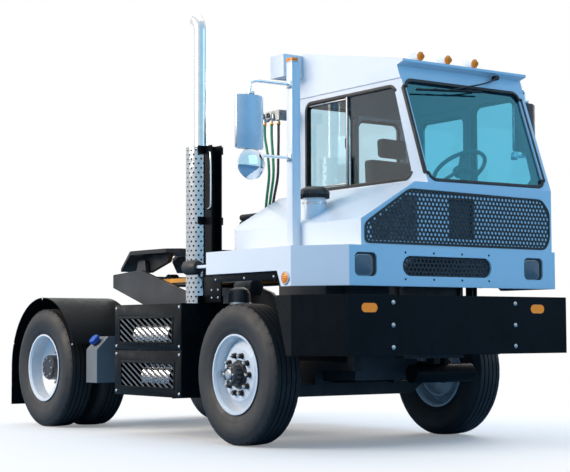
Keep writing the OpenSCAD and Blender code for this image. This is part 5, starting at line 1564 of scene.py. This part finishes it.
class TRUCK_OT_wiper(bpy.types.Operator):
    """Wiper that hangs from the header, parked along the top of the screen"""
    bl_idname = "truck.wiper"
    bl_label = "Wiper"

    def execute(self, context):
        middle = BLADE_LEFT.lerp(BLADE_RIGHT, 0.45)
        back, lip = Vector((0, 0, 0.004)), Vector((-0.012, 0, -0.010))
        pieces = [
            rod(WIPER_PIVOT - Vector((0.030, 0, 0)), WIPER_PIVOT + Vector((0.022, 0, 0)), 0.020, 24),
            tube([WIPER_PIVOT + Vector((0.014, 0, 0)), (2.066, 0.68, 2.735), (2.074, 0.50, 2.690),
                  middle + Vector((0.012, 0, 0.010)), middle + Vector((0.004, 0, 0))], 0.006),
            rod(BLADE_LEFT, BLADE_RIGHT, 0.0055, 8, 0.0),
            plate([BLADE_LEFT + back, BLADE_RIGHT + back, BLADE_RIGHT + lip, BLADE_LEFT + lip],
                  (0.003, 0, 0.002)),
        ]
        for share in (0.2, 0.45, 0.7):
            spot = BLADE_LEFT.lerp(BLADE_RIGHT, share)
            low, high = spot + Vector((-0.004, -0.030, -0.002)), spot + Vector((0.009, 0.030, 0.010))
            pieces.append(bar(low, high, 0.002))
        for piece in pieces:
            coated(piece, LOOKS["rubber"])
        finished(joined("wiper", pieces), "cab")
        return {"FINISHED"}


# Side window, intake, seat and small fittings

# The right window's fixed bar, as x of its edges and its ends, and the sliding pane's two rails
WINDOW_BAR_X, WINDOW_BAR_Z = (1.354, 1.372), (1.955, 2.640)
PANE_RAIL_X, PANE_RAILS_Z, PANE_RAIL_H = (0.880, 1.356), (1.962, 2.616), 0.012
LATCH_X, LATCH_Z = (1.342, 1.352), (2.24, 2.32)


class TRUCK_OT_window_bars(bpy.types.Operator):
    """Upright bar, rails and latch of the sliding pane in the right side window"""
    bl_idname = "truck.window_bars"
    bl_label = "Window bars"

    def execute(self, context):
        outer, inner = CAB_RIGHT - 0.006, CAB_RIGHT + 0.012
        (start, end), (foot, top) = WINDOW_BAR_X, WINDOW_BAR_Z
        pieces = [bar((start, outer, foot), (end, inner, top), 0.003)]
        back, front = PANE_RAIL_X
        for z in PANE_RAILS_Z:
            pieces.append(bar((back, outer + 0.004, z), (front, inner, z + PANE_RAIL_H), 0.003))
        for piece in pieces:
            coated(piece, LOOKS["window metal"])
        latch = bar((LATCH_X[0], outer, LATCH_Z[0]), (LATCH_X[1], outer + 0.008, LATCH_Z[1]), 0.003)
        coated(latch, LOOKS["rubber"])
        finished(joined("window_bars", pieces + [latch]), "cab")
        return {"FINISHED"}


INTAKE = Vector((1.554, -0.635, 0))
INTAKE_R, INTAKE_FOOT, INTAKE_TOP = 0.088, 1.560, 1.822
CAP_RIBS = 32


def ribbed(lid, rib, count, name):
    """A lid with copies of a rib round Z."""
    ribs = [copied(rib, Matrix.Rotation(2 * math.pi * turn / count, 4, "Z")) for turn in range(count)]
    removed(rib)
    return joined(name, [lid, *ribs])


class TRUCK_OT_intake(bpy.types.Operator):
    """Air intake with a slotted black cap"""
    bl_idname = "truck.intake"
    bl_label = "Air intake"

    def execute(self, context):
        foot, top = INTAKE + Vector((0, 0, INTAKE_FOOT)), INTAKE + Vector((0, 0, INTAKE_TOP))
        stub = coated(rod(foot, top, INTAKE_R, 48, 0.004), LOOKS["white"])
        band = turned([(INTAKE_R, 1.770), (0.091, 1.770), (0.091, 1.786), (INTAKE_R, 1.786)], 48)
        cap = turned([(0, 1.905), (0.062, 1.900), (0.096, 1.886), (0.113, 1.862), (0.114, 1.842),
                      (0.100, 1.842), (0.098, 1.816), (0, 1.816)], 48)
        dark = ribbed(cap, bar((0.096, -0.004, 1.814), (0.112, 0.004, 1.846), 0.001), CAP_RIBS, "intake_cap")
        coated(dark, LOOKS["trim black"])
        coated(band, LOOKS["bright"])
        for piece in (dark, band):
            moved(piece, Matrix.Translation(INTAKE))
        intake = finished(joined("intake_parts", [stub, dark, band]), "cab")
        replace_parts(intake, "air_intake")
        return {"FINISHED"}


class TRUCK_OT_seat(bpy.types.Operator):
    """Padded driver's seat on its pedestal"""
    bl_idname = "truck.seat"
    bl_label = "Seat"

    def execute(self, context):
        low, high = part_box("seat")
        y0, y1 = low.y, high.y
        base = bar((1.00, y0 + 0.08, low.z), (1.40, y1 - 0.08, 1.622), 0.02, "seat_base")
        coated(base, LOOKS["trim"])
        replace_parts(finished(base, "cab"), "seat")
        for name, lower, upper in (
                ("seat_cushion", (0.950, y0 + 0.004, 1.620), (high.x, y1 - 0.004, 1.760)),
                ("seat_back", (low.x, y0 + 0.010, 1.690), (low.x + 0.130, y1 - 0.010, 2.250)),
                ("head_rest", (low.x + 0.010, y0 + 0.130, 2.250), (low.x + 0.110, y1 - 0.130, high.z))):
            pad = softened(bar(lower, upper, name=name), 0.030, 3)
            with editing(pad):
                bpy.ops.mesh.select_all(action="SELECT")
                bpy.ops.mesh.subdivide(number_cuts=5)
            applied(pad, "CAST", factor=0.10, cast_type="SPHERE")
            coated(pad, LOOKS["cloth"])
            finished(pad, "cab", 60)
        return {"FINISHED"}


LEDGE_BULB = Vector((0.620, -1.105, 1.330))
DRYER = Vector((0.660, -0.700, 0))
SKIRT_LOW, SKIRT_HIGH = Vector((0.930, -1.128, 1.205)), Vector((1.770, -1.116, 1.285))
HORN_Y, HORNS_Z, HORN_R = -0.500, (1.700, 1.752), 0.026
GUSSET_LOW, GUSSET_HIGH = Vector((0.450, -0.892, 1.064)), Vector((0.690, -0.880, 1.262))
MOTOR_X, MOTOR_Y, MOTOR_Z, MOTOR_R = (0.360, 0.600), -0.492, 1.190, 0.068
FENDER_BOLT_R, FENDER_BOLT_ANGLES = 0.612, (20, 90, 160)
LID_RIBS = 16


def small_bolts(spots, direction):
    """Bright bolt heads on each spot."""
    bolt = bolt_mesh(0.010, 0.007, LOOKS["bright"])
    heads = set_on(bolt, spots, direction)
    removed(bolt)
    return heads


class TRUCK_OT_ledge_bulb(bpy.types.Operator):
    """Black rubber bulb on a bolted arm behind the ledge"""
    bl_idname = "truck.ledge_bulb"
    bl_label = "Ledge bulb"

    def execute(self, context):
        bulb = turned([(0, -0.105), (0.040, -0.100), (0.056, -0.075), (0.058, 0.050), (0.046, 0.085),
                       (0, 0.090)], 36)
        moved(bulb, Matrix.Translation(LEDGE_BULB) @ aimed((1, 0, 0)))
        arm = bar((0.690, -1.125, 1.318), (0.905, -1.085, 1.342), 0.003)
        foot = bar((0.899, -1.150, 1.275), (0.913, -1.040, 1.415), 0.003)
        spots = [(0.899, y, z) for y, z in ((-1.135, 1.390), (-1.055, 1.390), (-1.095, 1.290))]
        pieces = [coated(bulb, LOOKS["rubber"]), coated(arm, LOOKS["white"]), coated(foot, LOOKS["white"])]
        pieces += small_bolts(spots, (-1, 0, 0))
        finished(joined("ledge_bulb", pieces), "cab")
        return {"FINISHED"}


class TRUCK_OT_air_dryer(bpy.types.Operator):
    """Air dryer's canister on its shelf"""
    bl_idname = "truck.air_dryer"
    bl_label = "Air dryer"

    def execute(self, context):
        shelf = bar((0.560, -0.800, 0.930), (0.760, -0.425, 0.945), 0.003)
        can = turned([(0, 0.945), (0.080, 0.945), (0.086, 0.960), (0.086, 1.130), (0.070, 1.165),
                      (0.030, 1.185), (0, 1.185)], 32)
        band = turned([(0.084, 1.045), (0.092, 1.045), (0.092, 1.065), (0.084, 1.065)], 32)
        for piece in (can, band):
            moved(piece, Matrix.Translation(DRYER))
        pieces = [coated(shelf, LOOKS["black"]), coated(can, LOOKS["engine"]), coated(band, LOOKS["zinc"])]
        finished(joined("air_dryer", pieces), "chassis")
        return {"FINISHED"}


class TRUCK_OT_ledge_skirt(bpy.types.Operator):
    """Black skirt under the ledge, and two horns behind the engine cover"""
    bl_idname = "truck.ledge_skirt"
    bl_label = "Ledge skirt and horns"

    def execute(self, context):
        skirt = coated(bar(SKIRT_LOW, SKIRT_HIGH, 0.002), LOOKS["black"])
        bolts = small_bolts([(x, SKIRT_LOW.y, 1.225) for x in (0.98, 1.36, 1.73)], (0, -1, 0))
        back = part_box("engine_cover")[0].x
        horns = [rod((back - 0.24, HORN_Y, z), (back + 0.01, HORN_Y, z), HORN_R, 24, 0.006) for z in HORNS_Z]
        for horn in horns:
            coated(horn, LOOKS["rubber"])
        finished(joined("ledge_skirt", [skirt, *bolts, *horns]), "cab")
        return {"FINISHED"}


class TRUCK_OT_post_gusset(bpy.types.Operator):
    """Bolted gusset at the stack's post, and a small motor on the deck's edge"""
    bl_idname = "truck.post_gusset"
    bl_label = "Post gusset and motor"

    def execute(self, context):
        gusset = coated(bar(GUSSET_LOW, GUSSET_HIGH, 0.003), LOOKS["black"])
        spots = [(x, GUSSET_LOW.y, z) for x in (0.56, 0.65) for z in (1.10, 1.16)]
        bolts = small_bolts(spots, (0, -1, 0))
        back, front = ((x, MOTOR_Y, MOTOR_Z) for x in MOTOR_X)
        motor = coated(rod(back, front, MOTOR_R, 28, 0.012), LOOKS["engine"])
        mount = coated(bar((0.400, -0.440, 1.125), (0.540, -0.412, 1.255), 0.003), LOOKS["black"])
        finished(joined("post_gusset", [gusset, *bolts, motor, mount]), "chassis")
        return {"FINISHED"}


class TRUCK_OT_fender_bolts(bpy.types.Operator):
    """Bolts along the edge of the right fender"""
    bl_idname = "truck.fender_bolts"
    bl_label = "Fender bolts"

    def execute(self, context):
        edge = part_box("rear_fenders")[0].y
        spots = [(REAR.x + FENDER_BOLT_R * math.cos(a), edge, REAR.z + FENDER_BOLT_R * math.sin(a))
                 for a in map(math.radians, FENDER_BOLT_ANGLES)]
        finished(joined("fender_bolts", small_bolts(spots, (0, -1, 0))), "chassis")
        return {"FINISHED"}


class TRUCK_OT_tank_cap(bpy.types.Operator):
    """Ribbed blue cap on the neck of the small tank"""
    bl_idname = "truck.tank_cap"
    bl_label = "Tank cap"

    def execute(self, context):
        back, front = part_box("def_tank")
        shoulder = Vector(((back.x + front.x) / 2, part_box("rear_fenders")[0].y + 0.135, 0.745))
        neck = turned([(0, 0), (0.040, 0), (0.040, 0.022), (0, 0.022)], 28)
        lid = turned([(0, 0.022), (0.043, 0.022), (0.045, 0.028), (0.042, 0.058), (0.030, 0.064),
                      (0, 0.064)], 28)
        cap = ribbed(lid, bar((0.040, -0.003, 0.026), (0.047, 0.003, 0.054), 0.001), LID_RIBS, "lid")
        pieces = [coated(neck, LOOKS["rubber"]), coated(cap, LOOKS["blue cap"])]
        for piece in pieces:
            moved(piece, Matrix.Translation(shoulder) @ aimed((0, -1, 1)))
        finished(joined("tank_cap", pieces), "chassis")
        return {"FINISHED"}


# Stage

PHOTO_WIDTH = 570


def world_light():
    """Blue sky for the shading, a paler one for reflections and plain white for the eye."""
    world = bpy.data.worlds.new("studio")
    bpy.context.scene.world = world
    world.use_nodes = True
    tree = world.node_tree
    tree.nodes.clear()
    way = add(tree, "ShaderNodeTexCoord").outputs["Generated"]
    parts = add(tree, "ShaderNodeSeparateXYZ", Vector=way).outputs
    ahead = ranged(tree, parts["X"], 0.0, 0.8, 0.0, 1.0)
    shine = mixed(tree, ahead, (1.0, 1.0, 1.0, 1), (0.45, 0.72, 0.92, 1))
    below = ranged(tree, parts["Z"], -0.20, 0.02, 1.0, 0.0)
    shine = mixed(tree, below, shine, (0.20, 0.24, 0.28, 1))
    ray = add(tree, "ShaderNodeLightPath").outputs
    sky = mixed(tree, ray["Is Glossy Ray"], (0.13, 0.38, 0.68, 1), shine)
    seen = calc(tree, "ADD", ray["Is Camera Ray"], ray["Is Transmission Ray"], clamp=True)
    back = add(tree, "ShaderNodeBackground", Color=mixed(tree, seen, sky, (1, 1, 1, 1)), Strength=1.0)
    out = add(tree, "ShaderNodeOutputWorld")
    put(out.inputs["Surface"], back.outputs[0])


def soft_lamp(name, place, target, size, power, colour):
    """A rectangular lamp that glass doesn't show."""
    data = bpy.data.lights.new(name, "AREA")
    data.shape = "RECTANGLE"
    data.size, data.size_y = size
    data.energy = power
    data.color = colour
    lamp = bpy.data.objects.new(name, data)
    lamp.location = place
    lamp.visible_transmission = False
    lamp.rotation_euler = (Vector(target) - Vector(place)).to_track_quat("-Z", "Y").to_euler()
    bpy.context.scene.collection.objects.link(lamp)


def photo_camera():
    """The camera at the photograph's viewing angle."""
    look = bpy.context.scene.truck_stage
    data = bpy.data.cameras.new("photo camera")
    data.sensor_width = 36.0
    data.lens = look.focal / PHOTO_WIDTH * data.sensor_width
    data.clip_start, data.clip_end = 0.1, 200
    camera = bpy.data.objects.new("photo camera", data)
    bpy.context.scene.collection.objects.link(camera)
    e, a, r = look.tilt, look.heading, look.roll
    ahead = Vector((-math.cos(e) * math.cos(a), math.cos(e) * math.sin(a), math.sin(e)))
    right = ahead.cross(Vector((0, 0, 1))).normalized()
    up = right.cross(ahead)
    across = right * math.cos(r) + up * math.sin(r)
    upright = up * math.cos(r) - right * math.sin(r)
    turn = Matrix((across, upright, -ahead)).transposed().to_4x4()
    camera.matrix_world = Matrix.Translation(Vector(look.place)) @ turn
    bpy.context.scene.camera = camera


def floor_look():
    """Pale floor that fades to white away from the truck and throws back little light."""
    look, tree, shader = blank("studio floor")
    tone = add(tree, "ShaderNodeTexNoise", Vector=spots_of(tree), Scale=0.6, Detail=2.0).outputs[0]
    pale = mixed(tree, tone, (0.93, 0.90, 0.87, 1), (0.95, 0.92, 0.89, 1))
    to_eye = add(tree, "ShaderNodeLightPath").outputs["Is Camera Ray"]
    put(shader.inputs["Base Color"], mixed(tree, to_eye, (0.16, 0.30, 0.44, 1), pale))
    shader.inputs["Roughness"].default_value = 0.8
    away = add(tree, "ShaderNodeVectorMath", {"operation": "LENGTH"})
    put(away.inputs[0], spots_of(tree))
    far = ranged(tree, away.outputs["Value"], 1.8, 4.6, 0.22, 1.0)
    seen = calc(tree, "MULTIPLY", far, to_eye)
    glow = add(tree, "ShaderNodeEmission", Color=(1, 1, 1, 1), Strength=1.0)
    blend = add(tree, "ShaderNodeMixShader", Fac=seen)
    put(blend.inputs[1], shader.outputs[0])
    put(blend.inputs[2], glow.outputs[0])
    put(tree.nodes["Material Output"].inputs["Surface"], blend.outputs[0])
    return look


class TRUCK_OT_stage(bpy.types.Operator):
    """Floor, light and camera"""
    bl_idname = "truck.stage"
    bl_label = "Stage"

    def execute(self, context):
        context.scene.view_settings.view_transform = "Standard"
        floor = added("studio_floor", bpy.ops.mesh.primitive_plane_add, size=120)
        coated(floor, floor_look())
        world_light()
        soft_lamp("key", (-3.0, -9.0, 6.0), (0, 0, 1.4), (7, 5), 980, (1.0, 0.87, 0.74))
        soft_lamp("fill", (9.0, 3.0, 5.0), (0.5, 0, 1.5), (6, 5), 110, (0.24, 0.60, 1.0))
        soft_lamp("left", (-5.0, 9.0, 5.0), (0, 0, 1.4), (7, 5), 700, (1.0, 0.88, 0.76))
        soft_lamp("top", (-1.0, 0.0, 9.0), (-1.0, 0, 0), (7, 6), 200, (1.0, 0.98, 0.95))
        photo_camera()
        return {"FINISHED"}


class TRUCK_PT_panel(bpy.types.Panel):
    """Lists the truck's pieces in the sidebar"""
    bl_idname = "TRUCK_PT_panel"
    bl_label = "Yard truck"
    bl_space_type = "VIEW_3D"
    bl_region_type = "UI"
    bl_category = "Yard truck"

    def draw(self, context):
        for step in STEPS:
            self.layout.operator(step.bl_idname)


STEPS = (
    TRUCK_OT_stage, TRUCK_OT_finishes, TRUCK_OT_hoses, TRUCK_OT_tyres, TRUCK_OT_wheel_nuts, TRUCK_OT_seals,
    TRUCK_OT_grille, TRUCK_OT_case, TRUCK_OT_guard, TRUCK_OT_handle, TRUCK_OT_mirrors, TRUCK_OT_mirror_arms,
    TRUCK_OT_marker_lamps, TRUCK_OT_headlamps, TRUCK_OT_bolts, TRUCK_OT_wiper, TRUCK_OT_window_bars,
    TRUCK_OT_intake, TRUCK_OT_seat, TRUCK_OT_ledge_bulb, TRUCK_OT_air_dryer, TRUCK_OT_ledge_skirt,
    TRUCK_OT_post_gusset, TRUCK_OT_fender_bolts, TRUCK_OT_tank_cap)
GROUPS = {"truck_paint": TruckPaint, "truck_sizes": TruckSizes, "truck_stage": TruckStage}


def register():
    for kind in (*GROUPS.values(), *STEPS, TRUCK_PT_panel):
        bpy.utils.register_class(kind)
    for name, kind in GROUPS.items():
        setattr(bpy.types.Scene, name, bpy.props.PointerProperty(type=kind))


def unregister():
    for name in GROUPS:
        delattr(bpy.types.Scene, name)
    for kind in reversed((*GROUPS.values(), *STEPS, TRUCK_PT_panel)):
        bpy.utils.unregister_class(kind)


def main():
    """Builds the truck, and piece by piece."""
    register()
    for step in STEPS:
        family, name = step.bl_idname.split(".")
        getattr(getattr(bpy.ops, family), name)()


if __name__ == "__main__":
    main()
